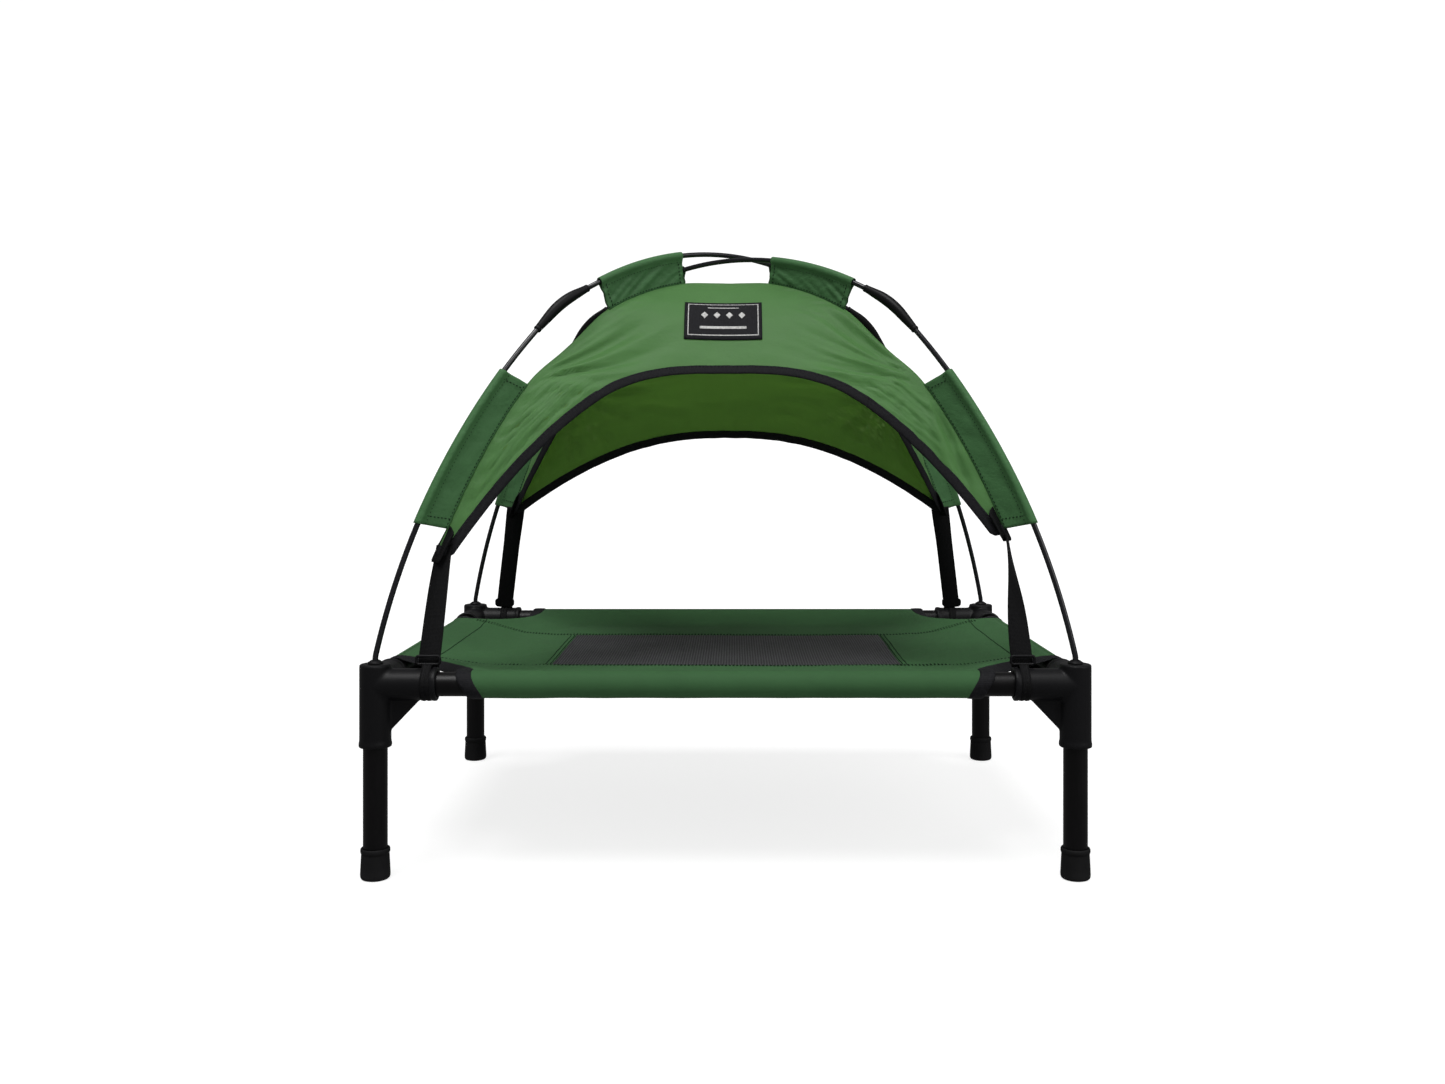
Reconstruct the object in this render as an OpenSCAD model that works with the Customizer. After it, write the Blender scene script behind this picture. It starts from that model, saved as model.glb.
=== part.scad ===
// Raised pet cot with a pole-held shade canopy.
// Four push-in legs and four rails meet in moulded corners, a sewn deck is stretched
// over the rails, and two crossed poles stand in the corners and carry the canopy.
// Units are millimetres, +Z is up, the front faces -Y, and the origin is on the floor
// below the middle of the cot.

/* [Frame] */
// Distance between the left and right leg axes
leg_span_x = 580; // [520:1:700]
// Distance between the front and rear leg axes
leg_span_y = 430; // [400:1:520]
// Height of the rail axes above the floor
rail_z = 161; // [150:1:220]
// Outer diameter of the leg and rail tubes
tube_d = 20; // [16:1:20]
// Wall of the leg and rail tubes
tube_wall = 1.2; // [0.8:0.1:2]

/* [Corner connector] */
// Outer diameter of the upright sleeve
upright_d = 26; // [26:0.5:30]
// Outer diameter of the rail sleeves
arm_d = 26; // [26:0.5:30]
// Length of a rail sleeve from the leg axis
arm_length = 52; // [48:1:60]
// Height of the upright sleeve's lower lip above the floor
upright_bottom = 109; // [90:1:112]
// Thickness of the triangular web under each rail sleeve
gusset_t = 4; // [3:0.5:6]

/* [Foot] */
// Height of the rubber foot
foot_h = 26; // [20:1:34]
// Largest diameter of the rubber foot
foot_d = 24.6; // [24:0.1:28]

/* [Bed] */
// Radius of the quarter-round bite at each corner of the bed fabric
bite_r = 68; // [66:1:72]
// Width of the bound edge round each bite
trim_w = 9; // [6:1:12]
// Distance from a rail axis to the seam of its sleeve
seam_inset = 28; // [26:1:34]
// How far the deck hangs below the rail axes
deck_sag = 2.5; // [2:0.5:6]
// Half of the mesh window's width
mesh_half_x = 160; // [140:1:180]
// Half of the mesh window's depth
mesh_half_y = 98; // [80:1:120]
// Thickness of the bed fabric
cloth_t = 1.2; // [1:0.1:1.2]

/* [Poles] */
// Diameter of the pole rods
rod_d = 4.8; // [4:0.1:5.2]
// Inward lean of a lower rod just above its corner, in degrees
pole_lean = 13.7; // [12:0.1:16]
// Bend radius of the lower rods
lower_rod_r = 620; // [600:5:640]
// Angle that a lower rod turns through, in degrees
lower_rod_turn = 29.4; // [28:0.1:31]
// Bend of the elbow joint, in degrees
elbow_bend = 18.9; // [16:0.1:21]
// Length of the elbow joint's lower leg
elbow_lower = 36.8; // [32:0.1:40]
// Length of the elbow joint's upper leg
elbow_upper = 31; // [28:0.1:36]
// Mean bend radius of the two upper rods
upper_rod_r = 330; // [326:1:334]

/* [Canopy] */
// Height of the canopy's centre
canopy_top = 520; // [516:1:522]
// Distance of the canopy's corners from its centre, in plan
corner_s = 300; // [290:1:302]
// Distance of the front edge's middle, measured along a seam, in plan
front_mid_s = 194; // [180:1:220]
// Distance of the rear edge's middle, measured along a seam, in plan
rear_mid_s = 245; // [220:1:255]
// Distance of the side edges' middles, measured along a seam, in plan
side_mid_s = 215; // [200:1:235]
// Width of the bound edge, in plan
binding_w = 6; // [4:1:8]
// Width of the straps
strap_w = 15; // [12:1:16]
// Width of the label patch
label_w = 72; // [60:1:80]

/* [Hidden] */
$fn = 48;
leg_x = leg_span_x / 2;
leg_y = leg_span_y / 2;
tube_r = tube_d / 2;
rod_r = rod_d / 2;
slip = 0.05;          // radial room round a rail in its bore
slide_room = 0.1;     // radial room round a leg, so it pulls out
socket_room = 0.5;    // radial room round a pole tip
skin_gap = 0.1;       // gap between sewn pieces that only touch

corner_top = rail_z + 17;
leg_socket_top = rail_z - 13;
leg_top = leg_socket_top - 1;
foot_floor = 4;
rail_end = 15;        // a rail stops this far from the leg axis
collar_w = 4;
socket_floor = rail_z - 7;
grommet_h = 3;
grommet_r = 6.2;
sleeve_r = tube_r + cloth_t;
deck_z = rail_z - deck_sag;

diagonal_angle = atan2(leg_y, leg_x);
leg_s = norm([leg_x, leg_y]);

// Front left, front right, rear left and rear right
CORNERS = [[-1, -1], [1, -1], [-1, 1], [1, 1]];

// ---------------------------------------------------------------- helpers

// Puts a child, drawn at +X +Y, at each corner of the cot.
module at_corner(corner) {
    mirror([corner[0] < 0 ? 1 : 0, 0, 0])
        mirror([0, corner[1] < 0 ? 1 : 0, 0])
            children();
}

module at_every_corner() {
    for (corner = CORNERS)
        at_corner(corner)
            children();
}

// Turns a child, drawn in the XZ plane with X outwards, into the +X +Y diagonal plane.
module in_diagonal() {
    rotate([0, 0, diagonal_angle])
        children();
}

module tube_along_x(r, length) {
    rotate([0, 90, 0])
        cylinder(r = r, h = length, center = true);
}

module tube_along_y(r, length) {
    rotate([90, 0, 0])
        cylinder(r = r, h = length, center = true);
}

// ---------------------------------------------------------------- frame

// A rail sleeve of the corner, along X from the leg axis, with its end collar.
module arm() {
    rotate([0, -90, 0]) {
        cylinder(d = arm_d, h = arm_length);
        translate([0, 0, arm_length - collar_w])
            cylinder(d = arm_d + 1.6, h = collar_w);
    }
}

// The triangular web between the upright and the arm along X.
module gusset() {
    translate([0, gusset_t / 2, 0])
        rotate([90, 0, 0])
            linear_extrude(gusset_t)
                polygon([
                    [-5, upright_bottom + 14], [-upright_d / 2, upright_bottom + 14],
                    [-38, rail_z - arm_d / 2 + 1], [-38, rail_z], [-5, rail_z]
                ]);
}

module corner_piece(corner) {
    color([0.05, 0.05, 0.055])
        at_corner(corner)
            translate([leg_x, leg_y, 0])
                difference() {
                    union() {
                        translate([0, 0, upright_bottom])
                            cylinder(d = upright_d, h = corner_top - upright_bottom);
                        translate([0, 0, upright_bottom])
                            cylinder(d = upright_d + 1.2, h = collar_w);
                        translate([0, 0, rail_z])
                            arm();
                        translate([0, 0, rail_z])
                            rotate([0, 0, 90])
                                arm();
                        gusset();
                        rotate([0, 0, 90])
                            gusset();
                    }
                    translate([0, 0, upright_bottom - 1])
                        cylinder(r = tube_r + slide_room, h = leg_socket_top - upright_bottom + 1);
                    translate([-(rail_end + arm_length + 1) / 2, 0, rail_z])
                        tube_along_x(tube_r + slip, arm_length + 1 - rail_end);
                    translate([0, -(rail_end + arm_length + 1) / 2, rail_z])
                        tube_along_y(tube_r + slip, arm_length + 1 - rail_end);
                    translate([0, 0, socket_floor])
                        cylinder(r = rod_r + socket_room, h = 40);
                }
}

module leg(corner) {
    color([0.03, 0.03, 0.035])
        at_corner(corner)
            translate([leg_x, leg_y, foot_floor])
                difference() {
                    cylinder(r = tube_r, h = leg_top - foot_floor);
                    translate([0, 0, -1])
                        cylinder(r = tube_r - tube_wall, h = leg_top + 2);
                }
}

// A rubber cup: rounded at the floor, with a thin collar round its mouth.
module foot(corner) {
    color([0.08, 0.08, 0.08])
        at_corner(corner)
            translate([leg_x, leg_y, 0])
                rotate_extrude()
                    polygon([
                        [0, 0], [foot_d / 2 - 2.2, 0], [foot_d / 2 - 0.6, 0.7], [foot_d / 2, 2.4],
                        [foot_d / 2 - 0.8, foot_h - 4], [foot_d / 2 - 0.2, foot_h - 3.4],
                        [foot_d / 2 - 0.2, foot_h - 0.8], [foot_d / 2 - 0.9, foot_h],
                        [tube_r + slip, foot_h], [tube_r + slip, foot_floor - slip],
                        [0, foot_floor - slip]
                    ]);
}

module rail_x(side) {
    color([0.03, 0.03, 0.035])
        translate([0, side * leg_y, rail_z])
            difference() {
                tube_along_x(tube_r, leg_span_x - 2 * rail_end - 1);
                tube_along_x(tube_r - tube_wall, leg_span_x);
            }
}

module rail_y(side) {
    color([0.03, 0.03, 0.035])
        translate([side * leg_x, 0, rail_z])
            difference() {
                tube_along_y(tube_r, leg_span_y - 2 * rail_end - 1);
                tube_along_y(tube_r - tube_wall, leg_span_y);
            }
}

// ---------------------------------------------------------------- bed

// Section of the web that runs from the top of a rail down to the sleeve's seam and on
// to its far edge, with the rail axis at the origin and the deck on the +X side.
module web_section(far) {
    polygon([
        [0, 0], [0, sleeve_r - 0.2], [4, sleeve_r - 0.4], [15, 5],
        [seam_inset, -deck_sag + cloth_t / 2], [far, -deck_sag + cloth_t / 2],
        [far, -deck_sag - cloth_t / 2], [seam_inset, -deck_sag - cloth_t / 2],
        [14.5, 3.6], [9, 0]
    ]);
}

// A rail's sleeve along Y, with the rail axis at the origin and the deck on the +X side.
module sleeve_skin(length, far) {
    difference() {
        union() {
            tube_along_y(sleeve_r, length);
            rotate([90, 0, 0])
                linear_extrude(length, center = true)
                    web_section(far);
        }
        tube_along_y(tube_r + slip, length + 2);
    }
}

// The front and rear sleeves run on as strips to the mesh window.
module sleeve_skin_x(side) {
    translate([0, side * leg_y, rail_z])
        rotate([0, 0, 90 * -side])
            sleeve_skin(leg_span_x - 2 * (seam_inset + skin_gap), leg_y - mesh_half_y);
}

module sleeve_skin_y(side) {
    translate([side * leg_x, 0, rail_z])
        rotate([0, 0, side > 0 ? 180 : 0])
            sleeve_skin(leg_span_y - 2 * seam_inset, seam_inset);
}

module deck_skin(side) {
    half_y = mesh_half_y - skin_gap;
    inner = mesh_half_x + skin_gap;
    outer = leg_x - seam_inset - skin_gap;
    translate([side > 0 ? inner : -outer, -half_y, deck_z - cloth_t / 2])
        cube([outer - inner, 2 * half_y, cloth_t]);
}

module bite_pillars(r) {
    at_every_corner()
        translate([leg_x, leg_y, 100])
            cylinder(r = r, h = 100);
}

module sleeve_x(side) {
    color([0.16, 0.36, 0.18])
        difference() {
            sleeve_skin_x(side);
            bite_pillars(bite_r + trim_w);
        }
}

module sleeve_y(side) {
    color([0.16, 0.36, 0.18])
        difference() {
            sleeve_skin_y(side);
            bite_pillars(bite_r + trim_w);
        }
}

module deck_side(side) {
    color([0.2, 0.42, 0.22])
        difference() {
            deck_skin(side);
            bite_pillars(bite_r + trim_w);
        }
}

module mesh_panel() {
    half_y = mesh_half_y - skin_gap;
    color([0.15, 0.15, 0.16])
        translate([-mesh_half_x, -half_y, deck_z - cloth_t / 2])
            cube([2 * mesh_half_x, 2 * half_y, cloth_t]);
}

module corner_trims() {
    color([0.06, 0.06, 0.07])
        intersection() {
            union() {
                sleeve_skin_x(-1);
                sleeve_skin_x(1);
                sleeve_skin_y(-1);
                sleeve_skin_y(1);
                deck_skin(-1);
                deck_skin(1);
            }
            difference() {
                bite_pillars(bite_r + trim_w - skin_gap);
                bite_pillars(bite_r);
            }
        }
}

// ---------------------------------------------------------------- corner fittings

loop_x = leg_x - arm_length + collar_w + 5;
loop_w = 8;
loop_r = arm_d / 2 + 0.3;
buckle_z = rail_z + loop_r + 1.6;
buckle_w = 20;
buckle_h = 11;
buckle_bar = 2.4;

module pole_grommets() {
    color([0.04, 0.04, 0.045])
        at_every_corner()
            translate([leg_x, leg_y, corner_top])
                difference() {
                    cylinder(r1 = grommet_r, r2 = grommet_r - 1.4, h = grommet_h);
                    translate([0, 0, -1])
                        cylinder(r = rod_r + socket_room, h = grommet_h + 2);
                }
}

// Webbing loops that hold the buckles on the rail sleeves.
module strap_loops() {
    color([0.05, 0.05, 0.055])
        at_every_corner()
            translate([loop_x, leg_y, rail_z])
                difference() {
                    tube_along_x(loop_r + 1.4, loop_w);
                    tube_along_x(loop_r, loop_w + 2);
                }
}

module strap_buckles() {
    color([0.04, 0.04, 0.045])
        at_every_corner()
            translate([loop_x - buckle_w / 2, leg_y - 3.5, buckle_z])
                difference() {
                    cube([buckle_w, 3, buckle_h]);
                    translate([buckle_bar, -1, buckle_bar])
                        cube([buckle_w - 2 * buckle_bar, 5, buckle_h - 2 * buckle_bar]);
                }
}

// ---------------------------------------------------------------- poles

// A pole is drawn in the XZ plane, X outwards. Its heading starts straight up and
// turns inwards; turn is the angle turned so far.
function out_of(turn) = [cos(turn), sin(turn)];
function heading(turn) = [-sin(turn), cos(turn)];

tip_bend_r = 15;
tip_end = [leg_s, corner_top + grommet_h + 1];
tip_centre = tip_end - tip_bend_r * out_of(0);
lower_start = tip_centre + tip_bend_r * out_of(pole_lean);
lower_centre = lower_start - lower_rod_r * out_of(pole_lean);
low_turn = pole_lean + lower_rod_turn;
lower_end = lower_centre + lower_rod_r * out_of(low_turn);
elbow_centre = lower_end + elbow_lower * heading(low_turn);
up_turn = low_turn + elbow_bend;
rod_grip = 22;        // how far a rod reaches into the elbow
crossing = 20;        // the two upper rods' radii differ by twice this, so they clear

function upper_straight(r) = (elbow_centre[0] - r * cos(up_turn)) / sin(up_turn);
function upper_start(r) = elbow_centre + upper_straight(r) * heading(up_turn);
function upper_centre(r) = upper_start(r) - r * out_of(up_turn);

over_r = upper_rod_r - crossing;
under_r = upper_rod_r + crossing;

// Points along an arc in the XZ plane, from one turn to another.
function arc_points(centre, r, from, to, steps) =
    [for (k = [0 : steps]) centre + r * out_of(from + (to - from) * k / steps)];

// Rings of points round each of the points in the XZ plane.
bar_sides = 16;
function bar_rings(points, r) =
    [for (i = [0 : len(points) - 1])
        let (ahead = points[min(i + 1, len(points) - 1)] - points[max(i - 1, 0)])
        let (across = [-ahead[1], ahead[0]] / norm(ahead))
        for (k = [0 : bar_sides - 1])
            let (a = 360 * k / bar_sides)
            [points[i][0] + r * cos(a) * across[0], r * sin(a), points[i][1] + r * cos(a) * across[1]]
    ];

// Walls between neighbouring rings, whose numbers start at first.
function bar_walls(count, first, inwards) =
    [for (i = [0 : count - 2]) for (k = [0 : bar_sides - 1])
        let (n = (k + 1) % bar_sides)
        let (a = first + i * bar_sides + k, b = first + i * bar_sides + n)
        each inwards
            ? [[a, b + bar_sides, b], [a, a + bar_sides, b + bar_sides]]
            : [[a, b, b + bar_sides], [a, b + bar_sides, a + bar_sides]]
    ];

// A round bar along points in the XZ plane.
module bar(points, r) {
    end = (len(points) - 1) * bar_sides;
    polyhedron(
        points = bar_rings(points, r),
        faces = concat([[for (k = [bar_sides - 1 : -1 : 0]) k]], bar_walls(len(points), 0, false),
                       [[for (k = [0 : bar_sides - 1]) end + k]]),
        convexity = 4
    );
}

// The same with a round channel through it.
module hollow_bar(points, r, channel_r) {
    count = len(points);
    inner = count * bar_sides;
    end = inner - bar_sides;
    rims = [for (k = [0 : bar_sides - 1])
        let (n = (k + 1) % bar_sides)
        each [[n, k, inner + k], [n, inner + k, inner + n],
              [end + k, end + n, end + inner + n], [end + k, end + inner + n, end + inner + k]]];
    polyhedron(
        points = concat(bar_rings(points, r), bar_rings(points, channel_r)),
        faces = concat(bar_walls(count, 0, false), bar_walls(count, inner, true), rims),
        convexity = 6
    );
}

lower_rod_points = concat(
    [[leg_s, socket_floor + 1]],
    arc_points(tip_centre, tip_bend_r, 0, pole_lean, 3),
    [for (k = [1 : 14]) lower_centre + lower_rod_r * out_of(pole_lean + lower_rod_turn * k / 14)],
    [lower_end + rod_grip * heading(low_turn)]
);

// Half of an upper rod, from its end in the elbow to just short of the crown.
function upper_half_points(r) = concat(
    [elbow_centre + (elbow_upper - rod_grip) * heading(up_turn)],
    [for (k = [0 : 8]) upper_centre(r) + r * out_of(up_turn + (90 - up_turn) * k / 9)]
);

function across_crown(points) =
    concat(points, [for (k = [len(points) - 1 : -1 : 0]) [-points[k][0], points[k][1]]]);

module lower_rod(corner) {
    color([0.03, 0.03, 0.035])
        at_corner(corner)
            in_diagonal()
                bar(lower_rod_points, rod_r);
}

// The over rod runs from front left to rear right, the under rod the other way.
module upper_rod(r, corner) {
    color([0.03, 0.03, 0.035])
        at_corner(corner)
            in_diagonal()
                bar(across_crown(upper_half_points(r)), rod_r);
}

// Places a child, drawn along +Z, at the elbow's centre and along a heading.
module from_elbow(turn) {
    translate([elbow_centre[0], 0, elbow_centre[1]])
        rotate([0, -turn, 0])
            children();
}

// One leg of the elbow, tapering to its mouth.
module elbow_half(length) {
    rotate_extrude()
        polygon([
            [0, 0], [5.5, 0], [5.2, 8], [4.5, length * 0.5], [3.9, length * 0.6],
            [3.5, length], [0, length]
        ]);
}

module elbow_bore(length) {
    blind = length - rod_grip - 1;
    translate([0, 0, blind])
        cylinder(r = rod_r + slip, h = length);
}

module elbow(corner) {
    color([0.06, 0.06, 0.065])
        at_corner(corner)
            in_diagonal()
                difference() {
                    union() {
                        from_elbow(low_turn + 180)
                            elbow_half(elbow_lower);
                        from_elbow(up_turn)
                            elbow_half(elbow_upper);
                        from_elbow(0)
                            sphere(r = 5.7);
                    }
                    from_elbow(low_turn + 180)
                        elbow_bore(elbow_lower);
                    from_elbow(up_turn)
                        elbow_bore(elbow_upper);
                }
}

// ---------------------------------------------------------------- canopy

cloth = 1.4;          // upright thickness of the canopy's solid panels
seam_room = 0.06;     // gap between two panels at their seam
panel_rows = 10;
panel_columns = 14;

// Height of the seams over the point at a distance s from the centre, in plan.
function seam_z(s) = canopy_top - 1.649e-3 * pow(s, 2) - 1.11e-8 * pow(s, 4);

// A panel hangs below the line between its two seams.
function hang(s, depth) = depth * pow(s / 200, 1.5);

function spread(half, s) = half * s - seam_room;

// A point of a panel whose seams spread by half for each unit of s, and whose
// middle runs outwards by run. u goes from -1 at one seam to 1 at the other.
function panel_point(s, u, half, run, depth) =
    [u * spread(half, s), run * s, seam_z(s) - hang(s, depth) * (1 - u * u)];

// Where the edge lies, between its middle and the corners.
function edge_s(u, mid, power) = mid + (corner_s - mid) * pow(abs(u), power);

function panel_rows_of(first, last, mid, power, half, run, depth, lift) =
    [for (i = [0 : panel_rows]) [for (j = [0 : panel_columns])
        let (u = 2 * j / panel_columns - 1)
        let (inner = first < 0 ? edge_s(u, mid, power) + first : first)
        let (outer = edge_s(u, mid, power) - last)
        panel_point(inner + (outer - inner) * i / panel_rows, u, half, run, depth) + [0, 0, lift]
    ]];

// A closed slab under a grid of points.
module slab(grid, thickness) {
    rows = len(grid);
    columns = len(grid[0]);
    count = rows * columns;
    top = [for (row = grid) each row];
    bottom = [for (p = top) p - [0, 0, thickness]];
    quads = [for (i = [0 : rows - 2]) for (j = [0 : columns - 2])
        [i * columns + j, i * columns + j + 1, (i + 1) * columns + j + 1, (i + 1) * columns + j]];
    rim = concat(
        [for (j = [0 : columns - 1]) j],
        [for (i = [1 : rows - 1]) i * columns + columns - 1],
        [for (j = [columns - 2 : -1 : 0]) (rows - 1) * columns + j],
        [for (i = [rows - 2 : -1 : 1]) i * columns]
    );
    faces = concat(
        [for (q = quads) each [[q[0], q[1], q[2]], [q[0], q[2], q[3]]]],
        [for (q = quads) each [[q[2] + count, q[1] + count, q[0] + count],
                               [q[3] + count, q[2] + count, q[0] + count]]],
        [for (k = [0 : len(rim) - 1])
            let (a = rim[k], b = rim[(k + 1) % len(rim)])
            each [[b, a, a + count], [b, a + count, b + count]]]
    );
    polyhedron(points = concat(top, bottom), faces = faces, convexity = 6);
}

half_front = cos(diagonal_angle);
run_front = sin(diagonal_angle);

// A slab of the front, rear, left or right panel between two distances from the
// centre. A negative first counts inwards from the panel's edge.
module gore(name, first, last, lift, thickness) {
    across = name == "left" || name == "right";
    half = across ? run_front : half_front;
    run = across ? half_front : run_front;
    mid = name == "front" ? front_mid_s : name == "rear" ? rear_mid_s : side_mid_s;
    power = name == "rear" ? 2.4 : 3;
    depth = name == "front" ? 12 : name == "rear" ? 9 : 15;
    angle = name == "front" ? 180 : name == "rear" ? 0 : name == "left" ? 90 : -90;
    rotate([0, 0, angle])
        slab(panel_rows_of(first, last, mid, power, half, run, depth, lift), thickness);
}

module canopy_panel(name) {
    color([0.38, 0.56, 0.34])
        gore(name, 1, binding_w + skin_gap, 0, cloth);
}

module canopy_binding() {
    color([0.08, 0.08, 0.09])
        for (name = ["front", "rear", "left", "right"])
            gore(name, -binding_w, 0, 0.8, 3);
}

// A flat doubled strip between a pole and the canopy's seam, with a sleeve that
// the pole runs through.
fin_t = 1.2;
fin_sleeve_r = rod_r + 1.5;
fin_channel_r = rod_r + 0.3;
fin_low = [24.2, 38.5];      // turns of the lower rod at the fin's two ends
fin_low_s = [220, 297];      // and where the seam is at those ends
fin_high_s = [52, 136];
fin_high_flare = [3, 10];    // the upper fin is this much longer at the pole

fin_plate_inset = (fin_sleeve_r + fin_channel_r) / 2;

module fin_plate(outer_points, inner_s) {
    steps = 10;
    inner_points = [for (k = [0 : steps])
        let (s = inner_s[0] + (inner_s[1] - inner_s[0]) * k / steps)
        [s, seam_z(s) + skin_gap]];
    rotate([90, 0, 0])
        linear_extrude(fin_t, center = true)
            polygon(concat(outer_points, inner_points));
}

// Points along a lower rod inside its fin, moved inwards by inset.
function lower_fin_points(inset) =
    arc_points(lower_centre, lower_rod_r - inset, fin_low[0], fin_low[1], 10);

// Points along an upper rod inside its fin, moved inwards by inset.
function upper_fin_points(r, inset) =
    arc_points(upper_centre(r), r - inset, acos((fin_high_s[1] + fin_high_flare[1]) / r),
               acos((fin_high_s[0] + fin_high_flare[0]) / r), 8);

module lower_fin(corner) {
    color([0.22, 0.4, 0.24])
        at_corner(corner)
            in_diagonal()
                union() {
                    hollow_bar(lower_fin_points(0), fin_sleeve_r, fin_channel_r);
                    fin_plate(lower_fin_points(fin_plate_inset), fin_low_s);
                }
}

module upper_fin(corner) {
    r = corner[0] == corner[1] ? over_r : under_r;
    color([0.22, 0.4, 0.24])
        at_corner(corner)
            in_diagonal()
                union() {
                    hollow_bar(upper_fin_points(r, 0), fin_sleeve_r, fin_channel_r);
                    fin_plate(upper_fin_points(r, fin_plate_inset), fin_high_s);
                }
}

// The label follows the front panel's surface.
label_x = -3;
label_s = [113, 167];

module label_patch() {
    rows = 8;
    columns = 8;
    grid = [for (i = [0 : rows]) [for (j = [0 : columns])
        let (s = label_s[0] + (label_s[1] - label_s[0]) * i / rows)
        let (x = -label_x + label_w * (j / columns - 0.5))
        panel_point(s, x / spread(half_front, s), half_front, run_front, 12) + [0, 0, 1.3]
    ]];
    color([0.04, 0.04, 0.045])
        rotate([0, 0, 180])
            slab(grid, 1.1);
}

// ---------------------------------------------------------------- straps

tab_h = 16;
tab_t = 3;
tab_at = [241.5, 181, 268];
strap_t = 1.4;
strap_foot = [loop_x, leg_y - 9, buckle_z + buckle_h + 0.6];

module corner_tabs() {
    color([0.06, 0.06, 0.07])
        at_every_corner()
            translate(tab_at)
                rotate([0, 0, diagonal_angle - 90])
                    translate([-strap_w / 2, 0, 0])
                        cube([strap_w, tab_t, tab_h]);
}

module strap(corner) {
    color([0.05, 0.05, 0.055])
        at_corner(corner)
            hull() {
                translate(strap_foot - [strap_w / 2, 0, 0])
                    cube([strap_w, strap_t, 0.5]);
                translate(tab_at - [strap_w / 2, 0, 0.6])
                    cube([strap_w, strap_t, 0.5]);
            }
}

// ---------------------------------------------------------------- nodes

corner_piece(CORNERS[0]);  // corner_front_left
corner_piece(CORNERS[1]);  // corner_front_right
corner_piece(CORNERS[2]);  // corner_rear_left
corner_piece(CORNERS[3]);  // corner_rear_right
leg(CORNERS[0]);  // leg_front_left
leg(CORNERS[1]);  // leg_front_right
leg(CORNERS[2]);  // leg_rear_left
leg(CORNERS[3]);  // leg_rear_right
foot(CORNERS[0]);  // foot_front_left
foot(CORNERS[1]);  // foot_front_right
foot(CORNERS[2]);  // foot_rear_left
foot(CORNERS[3]);  // foot_rear_right
rail_x(-1);  // rail_front
rail_x(1);  // rail_rear
rail_y(-1);  // rail_left
rail_y(1);  // rail_right
sleeve_x(-1);  // sleeve_front
sleeve_x(1);  // sleeve_rear
sleeve_y(-1);  // sleeve_left
sleeve_y(1);  // sleeve_right
deck_side(-1);  // deck_left
deck_side(1);  // deck_right
mesh_panel();
corner_trims();
pole_grommets();
strap_loops();
strap_buckles();
lower_rod(CORNERS[0]);  // lower_rod_front_left
lower_rod(CORNERS[1]);  // lower_rod_front_right
lower_rod(CORNERS[2]);  // lower_rod_rear_left
lower_rod(CORNERS[3]);  // lower_rod_rear_right
elbow(CORNERS[0]);  // elbow_front_left
elbow(CORNERS[1]);  // elbow_front_right
elbow(CORNERS[2]);  // elbow_rear_left
elbow(CORNERS[3]);  // elbow_rear_right
upper_rod(over_r, CORNERS[3]);  // upper_rod_over
upper_rod(under_r, CORNERS[2]);  // upper_rod_under
canopy_panel("front");  // canopy_front
canopy_panel("rear");  // canopy_rear
canopy_panel("left");  // canopy_left
canopy_panel("right");  // canopy_right
canopy_binding();
lower_fin(CORNERS[0]);  // lower_fin_front_left
lower_fin(CORNERS[1]);  // lower_fin_front_right
lower_fin(CORNERS[2]);  // lower_fin_rear_left
lower_fin(CORNERS[3]);  // lower_fin_rear_right
upper_fin(CORNERS[0]);  // upper_fin_front_left
upper_fin(CORNERS[1]);  // upper_fin_front_right
upper_fin(CORNERS[2]);  // upper_fin_rear_left
upper_fin(CORNERS[3]);  // upper_fin_rear_right
label_patch();
corner_tabs();
strap(CORNERS[0]);  // strap_front_left
strap(CORNERS[1]);  // strap_front_right
strap(CORNERS[2]);  // strap_rear_left
strap(CORNERS[3]);  // strap_rear_right
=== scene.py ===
"""Looks of the raised pet cot with its shade canopy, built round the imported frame.

Everything is in metres in the CAD frame: X right, Y back, Z up, origin on the floor.
"""
import math

import bmesh
import bpy
import numpy as np
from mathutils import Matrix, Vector, noise


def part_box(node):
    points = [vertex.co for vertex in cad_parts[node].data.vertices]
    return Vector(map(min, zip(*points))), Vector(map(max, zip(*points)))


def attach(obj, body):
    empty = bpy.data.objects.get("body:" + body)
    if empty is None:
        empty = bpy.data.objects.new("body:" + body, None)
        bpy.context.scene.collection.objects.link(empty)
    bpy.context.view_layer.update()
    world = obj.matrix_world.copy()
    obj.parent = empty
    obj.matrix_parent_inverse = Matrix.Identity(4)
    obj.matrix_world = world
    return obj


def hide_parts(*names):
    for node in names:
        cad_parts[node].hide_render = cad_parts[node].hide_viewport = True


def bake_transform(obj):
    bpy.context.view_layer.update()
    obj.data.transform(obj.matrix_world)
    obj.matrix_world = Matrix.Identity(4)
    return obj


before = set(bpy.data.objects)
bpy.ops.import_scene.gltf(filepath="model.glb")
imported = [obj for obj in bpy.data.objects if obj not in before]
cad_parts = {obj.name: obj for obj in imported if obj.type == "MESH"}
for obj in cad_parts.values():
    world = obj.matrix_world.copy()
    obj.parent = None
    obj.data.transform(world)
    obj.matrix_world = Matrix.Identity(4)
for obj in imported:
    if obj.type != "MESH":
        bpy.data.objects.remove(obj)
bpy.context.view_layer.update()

# ------------------------------------------------------------------ places from the frame


def centre_of(node):
    low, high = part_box(node)
    return (low + high) / 2


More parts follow.
